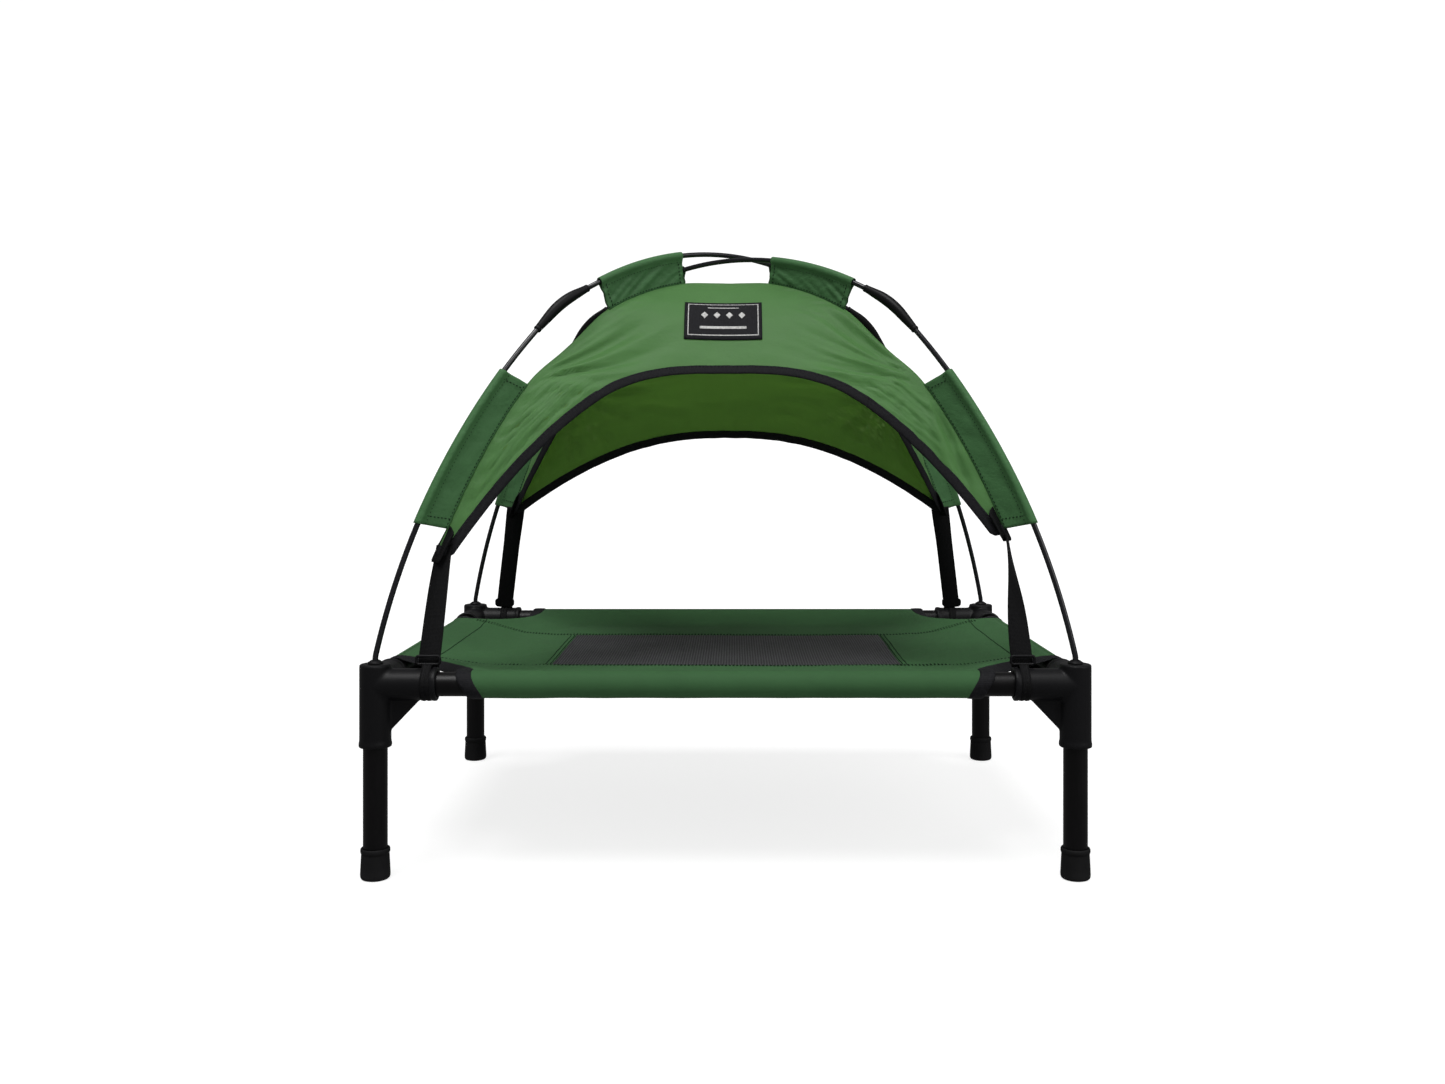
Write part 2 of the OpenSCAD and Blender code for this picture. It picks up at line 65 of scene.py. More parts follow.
CORNERS = {
    "front_left": (-1, -1),
    "front_right": (1, -1),
    "rear_left": (-1, 1),
    "rear_right": (1, 1),
}
LEG_X = centre_of("leg_front_right").x
LEG_Y = centre_of("leg_rear_left").y
RAIL_Z = centre_of("rail_front").z
TUBE_R = (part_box("rail_front")[1].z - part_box("rail_front")[0].z) / 2
CORNER_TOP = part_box("corner_front_left")[1].z
FOOT_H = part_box("foot_front_left")[1].z
LEG_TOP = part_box("leg_front_left")[1].z
DECK_Z = centre_of("mesh_panel").z
MESH_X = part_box("mesh_panel")[1].x
MESH_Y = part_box("mesh_panel")[1].y
SEAM_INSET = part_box("sleeve_left")[1].x + LEG_X
# The middle of the loops, which are 8 mm wide in the CAD.
LOOP_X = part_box("strap_loops")[1].x - 0.004
# The rear loops sit a little further out along their rail.
LOOP_SHIFT = {-1: 0.0, 1: 0.009}
RING_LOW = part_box("strap_buckles")[0].z

DIAGONAL = math.atan2(LEG_Y, LEG_X)
COS_D, SIN_D = math.cos(DIAGONAL), math.sin(DIAGONAL)
LEG_S = math.hypot(LEG_X, LEG_Y)

# ------------------------------------------------------------------ camera and stage

CAMERA_AT = (0.008, -1.329, 0.355)
LENS_MM = 33.5
SENSOR_MM = 36
LENS_SHIFT = (-0.0087, -0.0637)


def make_camera():
    data = bpy.data.cameras.new("camera")
    data.lens = LENS_MM
    data.sensor_width = SENSOR_MM
    data.shift_x, data.shift_y = LENS_SHIFT
    camera = bpy.data.objects.new("camera", data)
    camera.location = CAMERA_AT
    camera.rotation_euler = (math.radians(90), 0, 0)
    bpy.context.scene.collection.objects.link(camera)
    bpy.context.scene.camera = camera


make_camera()

# ------------------------------------------------------------------ mesh helpers


def new_object(name, mesh, body, nodes):
    obj = bpy.data.objects.new(name, mesh)
    bpy.context.scene.collection.objects.link(obj)
    if body:
        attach(obj, body)
    if nodes:
        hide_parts(*nodes)
    return obj


class Shape:
    """Points, faces and any cloth coordinates of one mesh, put together from parts."""

    def __init__(self, *parts):
        self.points, self.faces, self.uvs = [], [], []
        for part in parts:
            self.add(*part)

    def add(self, points, faces, uvs=()):
        start = len(self.points)
        self.points += list(points)
        self.uvs += list(uvs)
        self.faces += [tuple(start + k for k in face) for face in faces]


def mesh_from(name, shape):
    """A smooth mesh. Its cloth coordinates, in metres, go in the UV map named cloth."""
    mesh = bpy.data.meshes.new(name)
    mesh.from_pydata([tuple(p) for p in shape.points], [], shape.faces)
    mesh.validate()
    mesh.polygons.foreach_set("use_smooth", [True] * len(mesh.polygons))
    mesh.update()
    if shape.uvs:
        layer = mesh.uv_layers.new(name="cloth")
        index = np.zeros(len(mesh.loops), np.int32)
        mesh.loops.foreach_get("vertex_index", index)
        layer.data.foreach_set("uv", np.asarray(shape.uvs, np.float32)[index].ravel())
    return mesh


def piece(name, shape, body, material, nodes=(), outwards=False):
    """A smooth piece of one material that stands for some CAD nodes."""
    mesh = mesh_from(name, shape)
    if outwards:
        fix_normals(mesh)
    obj = new_object(name, mesh, body, nodes)
    obj.data.materials.append(material)
    return obj


def grid_faces(rows, columns, wrap_columns=False, wrap_rows=False):
    last_row = rows if wrap_rows else rows - 1
    last_column = columns if wrap_columns else columns - 1
    return [
        (
            i * columns + j,
            i * columns + (j + 1) % columns,
            ((i + 1) % rows) * columns + (j + 1) % columns,
            ((i + 1) % rows) * columns + j,
        )
        for i in range(last_row)
        for j in range(last_column)
    ]


def end_caps(rows, columns):
    """The faces that close both ends of a tube of rows of points."""
    return [tuple(range(columns)), tuple((rows - 1) * columns + k for k in reversed(range(columns)))]


def edit_mesh(mesh, edit):
    work = bmesh.new()
    work.from_mesh(mesh)
    edit(work)
    work.to_mesh(mesh)
    work.free()


def fix_normals(mesh):
    """Turns the faces outwards."""
    edit_mesh(mesh, lambda work: bmesh.ops.recalc_face_normals(work, faces=work.faces))


def merge_close(mesh, distance=1e-6):
    edit_mesh(mesh, lambda work: bmesh.ops.remove_doubles(work, verts=work.verts, dist=distance))


def remove_loose(mesh):
    """Deletes the points that no face uses."""

    def edit(work):
        loose = [v for v in work.verts if not v.link_faces]
        bmesh.ops.delete(work, geom=loose, context="VERTS")

    edit_mesh(mesh, edit)


def solidify(obj, thickness, offset=0.0):
    modifier = obj.modifiers.new("thickness", "SOLIDIFY")
    modifier.thickness = thickness
    modifier.offset = offset
    modifier.use_even_offset = False


def apply_modifiers(obj):
    graph = bpy.context.evaluated_depsgraph_get()
    mesh = bpy.data.meshes.new_from_object(obj.evaluated_get(graph))
    obj.modifiers.clear()
    obj.data = mesh


def sharpen(obj, degrees=40):
    obj.data.set_sharp_from_angle(angle=math.radians(degrees))


def tube_along(points, radii, sides):
    """Points and faces of a tube that follows points, with a radius at each."""
    points = [Vector(p) for p in points]
    count = len(points)
    tangents = [
        (points[min(i + 1, count - 1)] - points[max(i - 1, 0)]).normalized()
        for i in range(count)
    ]
    side = tangents[0].orthogonal().normalized()
    rings = []
    for point, tangent, radius in zip(points, tangents, radii):
        side = (side - tangent * side.dot(tangent)).normalized()
        other = tangent.cross(side)
        for k in range(sides):
            a = 2 * math.pi * k / sides
            rings.append(point + radius * (math.cos(a) * side + math.sin(a) * other))
    faces = grid_faces(count, sides, wrap_columns=True)
    faces += [cap[::-1] for cap in end_caps(count, sides)]
    return rings, faces


def lathe(profile, centre, sides=48):
    """Points and faces of a profile of (radius, height) turned about an upright axis."""
    points = []
    for radius, height in profile:
        for k in range(sides):
            a = 2 * math.pi * k / sides
            points.append(
                (centre[0] + radius * math.cos(a), centre[1] + radius * math.sin(a), centre[2] + height)
            )
    return points, grid_faces(len(profile), sides, wrap_columns=True)


def swirl(x, y, z=0.0):
    """Smooth noise from -1 to 1."""
    return noise.noise(Vector((x, y, z)))


def smoothstep(low, high, value):
    t = min(max((value - low) / (high - low), 0.0), 1.0)
    return t * t * (3 - 2 * t)


# ------------------------------------------------------------------ stitches

STITCH_PITCH = 0.0034
STITCH_LENGTH = 0.0024
THREAD_R = 0.00036


def stitch_parts(path, normals, thread_r):
    """Little rounded bars along a path, each lying on its surface."""
    path = np.asarray(path, float)
    normals = np.asarray(normals, float)
    along = np.concatenate([[0], np.cumsum(np.linalg.norm(np.diff(path, axis=0), axis=1))])
    parts = []
    for k in range(int(along[-1] / STITCH_PITCH)):
        ends = []
        for where in (0.15, 0.5, 0.85):
            at = (k + where * STITCH_LENGTH / STITCH_PITCH) * STITCH_PITCH
            ends.append([np.interp(at, along, path[:, axis]) for axis in range(3)])
        normal = np.array([np.interp(at, along, normals[:, axis]) for axis in range(3)])
        normal /= max(np.linalg.norm(normal), 1e-9)
        lifts = (-0.5, 0.6, -0.5)
        line = [np.array(e) + normal * thread_r * lift for e, lift in zip(ends, lifts)]
        parts.append(tube_along(line, [thread_r * 0.7, thread_r, thread_r * 0.7], sides=5))
    return parts


def stitches(name, paths, body, material, thread_r=THREAD_R):
    """One object of all the stitches along several (path, normals) pairs."""
    parts = [part for path, normals in paths for part in stitch_parts(path, normals, thread_r)]
    piece(name, Shape(*parts), body, material)


# ------------------------------------------------------------------ materials


# Length of one wave of the wave texture at scale 1, in metres.
WAVE_M = 0.314


class Nodes:
    """A new material with a Principled shader, and short calls to add nodes to it."""

    def __init__(self, name, base, roughness, **sockets):
        self.material = bpy.data.materials.new(name)
        self.material.use_nodes = True
        self.tree = self.material.node_tree
        self.shader = self.tree.nodes["Principled BSDF"]
        self.shader.inputs["Base Color"].default_value = (*base, 1)
        self.shader.inputs["Roughness"].default_value = roughness
        for socket, value in sockets.items():
            self.shader.inputs[socket.replace("_", " ")].default_value = value

    def add(self, kind, inputs=(), **settings):
        node = self.tree.nodes.new("ShaderNode" + kind)
        for key, value in settings.items():
            setattr(node, key, value)
        for key, value in dict(inputs).items():
            if isinstance(value, bpy.types.NodeSocket):
                self.tree.links.new(value, node.inputs[key])
            else:
                node.inputs[key].default_value = value
        return node

    def link(self, output, socket):
        self.tree.links.new(output, self.shader.inputs[socket])

    def position(self):
        return self.add("TexCoord").outputs["Object"]

    def cloth_uv(self):
        return self.add("UVMap", uv_map="cloth").outputs["UV"]

    def scaled(self, vector, scale):
        return self.add("Mapping", {"Vector": vector, "Scale": scale}).outputs["Vector"]

    def cloud(self, vector, scale, detail, roughness=0.55):
        inputs = {"Vector": vector, "Scale": scale, "Detail": detail, "Roughness": roughness}
        return self.add("TexNoise", inputs).outputs["Fac"]

    def waves(self, vector, scale, axis):
        inputs = {"Vector": vector, "Scale": scale, "Distortion": 0.0, "Detail": 0.0}
        return self.add("TexWave", inputs, bands_direction=axis).outputs["Fac"]

    def math(self, operation, a, b, clamp=False):
        return self.add("Math", {0: a, 1: b}, operation=operation, use_clamp=clamp).outputs[0]

    def weighted(self, a, share_a, b, share_b, clamp=False):
        """The sum of two values, each times its share."""
        parts = [self.math("MULTIPLY", a, share_a), self.math("MULTIPLY", b, share_b)]
        return self.math("ADD", *parts, clamp)

    def ramp(self, factor, colour, stops):
        """Shades of a colour: each stop is a place on the ramp and a share of the colour."""
        node = self.add("ValToRGB", {"Fac": factor})
        ramp = node.color_ramp
        while len(ramp.elements) < len(stops):
            ramp.elements.new(0.5)
        for element, (place, share) in zip(ramp.elements, stops):
            element.position = place
            element.color = (*shade(colour, share), 1)
        return node.outputs["Color"]

    def range(self, factor, low, high):
        return self.add("MapRange", {"Value": factor, "To Min": low, "To Max": high}).outputs[0]

    def bump(self, height, strength, distance, before=None):
        inputs = {"Height": height, "Strength": strength, "Distance": distance}
        if before is not None:
            inputs["Normal"] = before
        return self.add("Bump", inputs).outputs["Normal"]

    def surface(self, colour, roughness, normal):
        self.link(colour, "Base Color")
        self.link(roughness, "Roughness")
        self.link(normal, "Normal")
        return self.material


def shade(colour, factor):
    return tuple(min(c * factor, 1.0) for c in colour)


def cloth_material(name, colour, roughness, glow=None, share=0.32, sheen=0.03, crinkle=0.4, gloss=0.2):
    """Coated woven cloth: an even plain weave, faint shade changes and fine crinkles."""
    n = Nodes(name, colour, roughness, Sheen_Weight=sheen, Sheen_Roughness=0.45, Specular_IOR_Level=gloss)
    place = n.position()
    uv = n.cloth_uv()
    # Threads of the plain weave, about half a millimetre apart.
    across = n.waves(uv, 620.0, "X")
    along = n.waves(uv, 620.0, "Y")
    weave = n.math("MULTIPLY", across, along)
    slub = n.cloud(n.scaled(uv, (90, 900, 1)), 1.0, 2.0)
    broad = n.cloud(place, 9.0, 3.0)
    fine = n.cloud(place, 60.0, 4.0)
    tone = n.weighted(broad, 0.6, fine, 0.4)
    tinted = n.ramp(tone, colour, [(0.3, 0.9), (0.5, 1.0), (0.72, 1.1)])
    threads = n.add(
        "MixRGB", {"Fac": n.range(weave, 0.0, 0.16), "Color1": tinted, "Color2": (*shade(colour, 0.55), 1)}
    ).outputs[0]
    worn = n.math("ADD", fine, n.math("MULTIPLY", slub, 0.5))
    creases = n.cloud(n.scaled(place, (34, 34, 60)), 1.0, 5.0, 0.62)
    normal = n.bump(creases, crinkle, 0.0016)
    normal = n.bump(n.cloud(place, 240.0, 3.0), crinkle * 0.5, 0.0006, normal)
    normal = n.bump(slub, 0.12, 0.0004, normal)
    normal = n.bump(weave, 0.22, 0.00016, normal)
    n.surface(threads, n.range(worn, roughness - 0.1, roughness + 0.08), normal)
    if glow:
        # Light passes through thin cloth, so its inside glows under the lamps.
        through = n.add("BsdfTranslucent", {"Color": (*glow, 1)})
        output = n.tree.nodes["Material Output"]
        mixed = n.add("MixShader", {0: share})
        n.tree.links.new(n.shader.outputs[0], mixed.inputs[1])
        n.tree.links.new(through.outputs[0], mixed.inputs[2])
        n.tree.links.new(mixed.outputs[0], output.inputs["Surface"])
    return n.material


def webbing_material(name, colour, roughness, rib_m=0.0011):
    """Ribbed woven tape: ribs run across it, with a fine herringbone of threads."""
    n = Nodes(name, colour, roughness, Sheen_Weight=0.0, Specular_IOR_Level=0.1)
    uv = n.cloth_uv()
    place = n.position()
    ribs = n.waves(uv, WAVE_M / rib_m, "Y")
    threads = n.waves(uv, WAVE_M / 0.0016, "X")
    lint = n.cloud(place, 420.0, 3.0)
    tone = n.weighted(ribs, 0.35, lint, 0.65)
    weave = n.bump(n.math("MULTIPLY", ribs, threads), 0.5, 0.0004)
    return n.surface(
        n.ramp(tone, colour, [(0.25, 0.6), (0.75, 1.7)]),
        n.range(lint, roughness - 0.08, roughness + 0.1),
        n.bump(lint, 0.25, 0.0003, weave),
    )


def plastic_material(name, colour, roughness):
    """Moulded plastic with a fine satin grain, faint flow marks and rubbed edges."""
    n = Nodes(name, colour, roughness, Specular_IOR_Level=0.14)
    place = n.position()
    satin = n.cloud(place, 1560.0, 2.0)
    flow = n.cloud(n.scaled(place, (14, 14, 5)), 1.0, 4.0)
    rubbed = n.add("NewGeometry").outputs["Pointiness"]
    edge = n.add("MapRange", {"Value": rubbed, "From Min": 0.52, "From Max": 0.6}).outputs[0]
    tone = n.weighted(flow, 0.8, edge, 0.35, clamp=True)
    worn = n.weighted(flow, 0.7, satin, 0.3)
    return n.surface(
        n.ramp(tone, colour, [(0.2, 0.8), (0.9, 1.7)]),
        n.range(worn, roughness - 0.08, roughness + 0.12),
        n.bump(flow, 0.12, 0.0006, n.bump(satin, 0.25, 0.00012)),
    )


def paint_material(name, colour, roughness, coat):
    """Powder coat: a gloss coat over a gentle orange peel, with fine dust."""
    n = Nodes(name, colour, roughness, Specular_IOR_Level=0.2, Coat_Weight=coat, Coat_Roughness=0.12)
    place = n.position()
    peel = n.cloud(place, 420.0, 2.0)
    dust = n.cloud(n.scaled(place, (60, 60, 22)), 1.0, 5.0, 0.65)
    return n.surface(
        n.ramp(dust, colour, [(0.35, 0.75), (0.8, 1.9)]),
        n.range(dust, roughness - 0.06, roughness + 0.14),
        n.bump(peel, 0.18, 0.0002),
    )


def rubber_material(name, colour):
    """Matt rubber with a dry bloom and scuffs near the floor."""
    n = Nodes(name, colour, 0.72, Specular_IOR_Level=0.15)
    place = n.position()
    bloom = n.cloud(place, 45.0, 5.0, 0.6)
    grit = n.cloud(place, 900.0, 2.0)
    height = n.add("SeparateXYZ", {"Vector": place}).outputs["Z"]
    low = n.add("MapRange", {"Value": height, "From Min": 0.012, "From Max": 0.0}).outputs[0]
    tone = n.weighted(bloom, 0.7, low, 0.3, clamp=True)
    return n.surface(
        n.ramp(tone, colour, [(0.3, 0.75), (0.9, 2.0)]),
        n.range(bloom, 0.6, 0.85),
        n.bump(grit, 0.3, 0.0002, n.bump(bloom, 0.15, 0.0005)),
    )


def mesh_material(name, colour):
    """Coated mesh cloth: a close grid of round threads, with painted shade in the gaps between them and a
    painted highlight on the crests of the threads.
    """
    n = Nodes(name, colour, 0.6, Sheen_Weight=0.02, Sheen_Roughness=0.4, Specular_IOR_Level=0.15)
    uv = n.cloth_uv()
    place = n.position()
    pitch = 0.0025
    across = n.waves(uv, WAVE_M / pitch, "X")
    along = n.waves(uv, WAVE_M / pitch, "Y")
    threads = n.math("MAXIMUM", across, along)
    knots = n.math("MULTIPLY", across, along)
    shade_of = n.cloud(place, 24.0, 4.0)
    tone = n.weighted(threads, 0.7, shade_of, 0.3)
    # Painted light: the ramp darkens the gaps between threads as painted shade and lifts the thread crests
    # as a painted highlight.
    return n.surface(
        n.ramp(tone, colour, [(0.25, 0.15), (0.58, 1.0), (0.9, 2.6)]),
        n.range(knots, 0.62, 0.42),
        n.bump(shade_of, 0.1, 0.001, n.bump(threads, 0.7, 0.0005)),
    )


CANOPY_GREEN = (0.094, 0.228, 0.076)
LINING_GREEN = (0.110, 0.210, 0.060)
CANOPY_GLOW = (0.480, 0.730, 0.270)
FIN_GREEN = (0.052, 0.144, 0.052)
DECK_GREEN = (0.039, 0.102, 0.040)
TAPE_BLACK = (0.0085, 0.0085, 0.010)
WEB_BLACK = (0.0032, 0.0032, 0.0036)

MAT_CANOPY = cloth_material("canopy_cloth", CANOPY_GREEN, 0.44, CANOPY_GLOW, crinkle=0.65, gloss=0.17)
MAT_LINING = cloth_material("canopy_lining", LINING_GREEN, 0.5, CANOPY_GLOW, share=0.62, crinkle=0.25)
MAT_FIN = cloth_material("fin_cloth", FIN_GREEN, 0.48, crinkle=0.9, gloss=0.17)
MAT_DECK = cloth_material("deck_cloth", DECK_GREEN, 0.66, sheen=0.0, crinkle=0.2, gloss=0.08)
MAT_MESH = mesh_material("mesh_cloth", (0.021, 0.021, 0.023))
MAT_TAPE = webbing_material("binding_tape", TAPE_BLACK, 0.6, rib_m=0.0007)
MAT_WEB = webbing_material("webbing", WEB_BLACK, 0.62)
MAT_PLASTIC = plastic_material("moulded_plastic", (0.0045, 0.0045, 0.0052), 0.44)
MAT_PAINT = paint_material("painted_tube", (0.0016, 0.0013, 0.0016), 0.36, 0.01)
MAT_ROD = paint_material("pole_rod", (0.006, 0.006, 0.008), 0.2, 0.5)
MAT_RUBBER = rubber_material("foot_rubber", (0.0065, 0.0065, 0.007))
MAT_THREAD = webbing_material("thread", (0.011, 0.032, 0.014), 0.6, rib_m=0.0005)
MAT_BLACK_THREAD = webbing_material("black_thread", (0.022, 0.022, 0.026), 0.5, rib_m=0.0005)
MAT_LABEL = webbing_material("label_weave", (0.010, 0.010, 0.012), 0.6, rib_m=0.0006)
MAT_LABEL_THREAD = webbing_material("label_thread", (0.45, 0.45, 0.44), 0.6, rib_m=0.0006)

# ------------------------------------------------------------------ poles

# A pole is followed in its upright diagonal plane, as (distance from the middle,
# height). Its heading starts straight up and turns inwards.
ROD_R = 0.0024
POLE_LEAN = 13.7
LOWER_R = 0.620
LOWER_TURN = 29.4
ELBOW_BEND = 18.9
ELBOW_LOWER = 0.0368
ELBOW_UPPER = 0.031
ROD_GRIP = 0.022
TIP_R = 0.015
UPPER_R = {"over": 0.310, "under": 0.350}
LOW_TURN = POLE_LEAN + LOWER_TURN
UP_TURN = LOW_TURN + ELBOW_BEND


def out_of(turn):
    a = math.radians(turn)
    return np.array([math.cos(a), math.sin(a)])


def heading(turn):
    a = math.radians(turn)
    return np.array([-math.sin(a), math.cos(a)])


TIP_END = np.array([LEG_S, CORNER_TOP + 0.004])
TIP_CENTRE = TIP_END - TIP_R * out_of(0)
LOWER_START = TIP_CENTRE + TIP_R * out_of(POLE_LEAN)
LOWER_CENTRE = LOWER_START - LOWER_R * out_of(POLE_LEAN)
LOWER_END = LOWER_CENTRE + LOWER_R * out_of(LOW_TURN)
ELBOW_AT = LOWER_END + ELBOW_LOWER * heading(LOW_TURN)


def upper_start(radius):
    straight = (ELBOW_AT[0] - radius * out_of(UP_TURN)[0]) / math.sin(math.radians(UP_TURN))
    return ELBOW_AT + straight * heading(UP_TURN)


def upper_centre(radius):
    return upper_start(radius) - radius * out_of(UP_TURN)


def arc(centre, radius, first, last, steps):
    return [centre + radius * out_of(first + (last - first) * k / steps) for k in range(steps + 1)]


def in_plane(point, corner, aside=0.0):
    """A point of a corner's diagonal plane, moved aside from the plane, in the CAD frame."""
    side_x, side_y = CORNERS[corner]
    s, z = point
    return Vector(
        (side_x * (s * COS_D - aside * SIN_D), side_y * (s * SIN_D + aside * COS_D), z)
    )


def pole_kind(corner):
    side_x, side_y = CORNERS[corner]
    return "over" if side_x == side_y else "under"


def make_rod(name, path, corner):
    rod = Shape(tube_along([in_plane(p, corner) for p in path], [ROD_R] * len(path), 20))
    piece("pole_" + name, rod, "canopy", MAT_ROD, [name])


def make_lower_rod(corner):
    path = [np.array([LEG_S, CORNER_TOP - 0.023]), TIP_END]
    path += arc(TIP_CENTRE, TIP_R, 0, POLE_LEAN, 4)[1:]
    path += arc(LOWER_CENTRE, LOWER_R, POLE_LEAN, LOW_TURN, 40)[1:]
    path.append(LOWER_END + ROD_GRIP * heading(LOW_TURN))
    make_rod("lower_rod_" + corner, path, corner)


def make_upper_rod(kind, corner):
    radius = UPPER_R[kind]
    half = [ELBOW_AT + (ELBOW_UPPER - ROD_GRIP) * heading(UP_TURN)]
    half += arc(upper_centre(radius), radius, UP_TURN, 90, 28)
    path = half + [np.array([-p[0], p[1]]) for p in half[-2::-1]]
    make_rod("upper_rod_" + kind, path, corner)


# Radius of the elbow, in millimetres, at shares of a leg's length from its bend.
ELBOW_SECTION = [
    (0.0, 5.1), (0.2, 5.05), (0.4, 4.8), (0.6, 4.35), (0.8, 3.75), (0.9, 3.5), (0.905, 3.3),
    (0.94, 3.3), (0.945, 3.55), (0.99, 3.5), (1.0, 3.2), (1.003, 2.6),
]
ELBOW_BLEND = 0.016


def elbow_path(distance):
    """A point of the elbow's centre line, at a signed distance from its bend."""
    start = ELBOW_AT - ELBOW_BLEND * heading(LOW_TURN)
    end = ELBOW_AT + ELBOW_BLEND * heading(UP_TURN)
    if distance < -ELBOW_BLEND:
        return ELBOW_AT + distance * heading(LOW_TURN)
    if distance > ELBOW_BLEND:
        return ELBOW_AT + distance * heading(UP_TURN)
    t = (distance / ELBOW_BLEND + 1) / 2
    return (1 - t) ** 2 * start + 2 * t * (1 - t) * ELBOW_AT + t**2 * end


def make_elbow(corner):
    path, radii = [], []
    shares = [share for share, radius in ELBOW_SECTION]
    sizes = [radius / 1000 for share, radius in ELBOW_SECTION]
    dense = sorted(set(shares) | {k / 24 for k in range(25)})
    for side, length in ((-1, ELBOW_LOWER), (1, ELBOW_UPPER)):
        ordered = list(reversed(dense)) if side < 0 else dense[1:]
        for share in ordered:
            path.append(in_plane(elbow_path(side * share * length), corner))
            radii.append(float(np.interp(share, shares, sizes)))
    name = "elbow_" + corner
    shape = Shape(tube_along(path, radii, 32))
    elbow = piece("pole_" + name, shape, "canopy", MAT_PLASTIC, [name])
    sharpen(elbow, 50)


for place in CORNERS:
    make_lower_rod(place)
    make_elbow(place)
make_upper_rod("over", "rear_right")
make_upper_rod("under", "rear_left")

# ------------------------------------------------------------------ canopy surface

CANOPY_TOP = 0.520
# Distance of each corner from the middle, in plan. One hangs lower than the rest.
CORNER_S = {"front_left": 0.307, "front_right": 0.299, "rear_left": 0.298, "rear_right": 0.297}
CLOTH_T = 0.0005
# For each panel: its heading, the corners at its u of -1 and 1, the spread of its seams
# and its run outwards for each metre along a seam, where the middle of its edge lies,
# how the edge curves to the corners, how deep it hangs between its seams, and how far
# its edge curls inwards.
PANELS = {
    "front": dict(turn=180, ends=("front_right", "front_left"), half=COS_D, run=SIN_D,
                  mid=0.194, reach=0.95, power=3.2, hang=0.012, curl=0.002, seed=0.0),
    "rear": dict(turn=0, ends=("rear_left", "rear_right"), half=COS_D, run=SIN_D,
                 mid=0.245, reach=0.97, power=2.4, hang=0.009, curl=0.001, seed=11.3),
    "left": dict(turn=90, ends=("front_left", "rear_left"), half=SIN_D, run=COS_D,
                 mid=0.215, reach=0.97, power=3.0, hang=0.015, curl=0.013, seed=23.7),
    "right": dict(turn=-90, ends=("rear_right", "front_right"), half=SIN_D, run=COS_D,
                  mid=0.215, reach=0.97, power=3.0, hang=0.015, curl=0.013, seed=37.1),
}
FIN_LOW = (24.2, 38.5)
FIN_LOW_S = (0.220, 0.297)
FIN_HIGH_S = (0.052, 0.136)
FIN_HIGH_FLARE = (0.003, 0.010)


# How the seams fall with the second and fourth power of the distance from the middle.
SEAM_FALL = (1.649, 11.1)
# How far the seams hang between the fins, and how much the middle is flattened.
SEAM_SLACK = 0.0068
TOP_FLAT = 0.0012
# Heights of the canopy's folds.
EDGE_FOLD = 0.0028
FINE_FOLD = 0.0009
CRUMPLE = 0.0016
FAN_CREASE = 0.0046
PUCKER = 0.0016
UNEVEN = 0.0012


def seam_z(s):
    drop = CANOPY_TOP - SEAM_FALL[0] * s**2 - SEAM_FALL[1] * s**4
    # Where no fin holds the seam up it hangs lower.
    slack = SEAM_SLACK * smoothstep(0.136, 0.176, s) * (1 - smoothstep(0.182, 0.222, s))
    return drop - slack - TOP_FLAT * (1 - smoothstep(0.02, 0.055, s))


def edge_s(panel, u):
    corner = CORNER_S[panel["ends"][1 if u > 0 else 0]]
    rise = min(abs(u) / panel["reach"], 1.0) ** panel["power"]
    return panel["mid"] + (corner - panel["mid"]) * rise


def wrinkle(panel, s, u):
    """Height of the folds in a panel, in metres. There are none on its seams."""
    side = panel["half"] * s * u
    from_edge = max(edge_s(panel, u) - s, 0.0)
    from_seam = (1 - abs(u)) * panel["half"] * s
    seed = panel["seed"]
    sign = 1.0 if u > 0 else -1.0
    # Long folds along the bound edge, strongest down at the corners.
    lower = smoothstep(0.19, 0.26, s)
    crumple = swirl(side / 0.024 + seed, from_edge / 0.006 + side / 0.05, seed + 7) * CRUMPLE * lower
    folds = swirl(side / 0.09 + seed, from_edge / 0.0085, seed + sign) * EDGE_FOLD * lower
    folds += swirl(side / 0.05 + seed, from_edge / 0.0045, seed - sign) * FINE_FOLD * lower
    # Creases that fan out from the upper end of each lower fin.
    dx = side - sign * panel["half"] * 0.217
    ds = s - 0.217
    reach = math.hypot(dx, ds)
    angle = math.atan2(ds, -sign * dx)
    fan = swirl(angle * 7.5 + seed, reach / 0.09, seed + 3 * sign)
    fan += 0.4 * swirl(angle * 17 + seed, reach / 0.06, seed - 3 * sign)
    folds += fan * FAN_CREASE * smoothstep(0.0, 0.03, reach) * (1 - smoothstep(0.06, 0.17, reach))
    # Puckers where the fins are sewn on.
    sewn = smoothstep(0.215, 0.225, s) + smoothstep(0.05, 0.06, s) * (1 - smoothstep(0.125, 0.14, s))
    pucker = swirl(s / 0.0065 + seed, from_seam / 0.03, seed + 5 * sign)
    folds += pucker * PUCKER * sewn * (1 - smoothstep(0.0, 0.022, from_seam))
    # A soft unevenness all over, and less of everything where the binding holds the edge.
    folds += swirl(side / 0.06 + seed, s / 0.05, seed) * UNEVEN + crumple
    held = 0.08 + 0.92 * smoothstep(0.007, 0.024, from_edge)
    curl = panel["curl"] * max(1 - from_edge / 0.032, 0.0) ** 2 * (1 - u**6)
    return smoothstep(0.0, 0.009, from_seam) * (folds * held - curl)


def flat_point(name, s, u):
    """A point of a panel before it is turned to its side, with x across and y outwards."""
    panel = PANELS[name]
    hang = panel["hang"] * (s / 0.2) ** 1.5 * (1 - u * u)
    return np.array([u * panel["half"] * s, panel["run"] * s, seam_z(s) - hang])


def turned(point, degrees):
    a = math.radians(degrees)
    c, s = math.cos(a), math.sin(a)
    return np.array([c * point[0] - s * point[1], s * point[0] + c * point[1], point[2]])


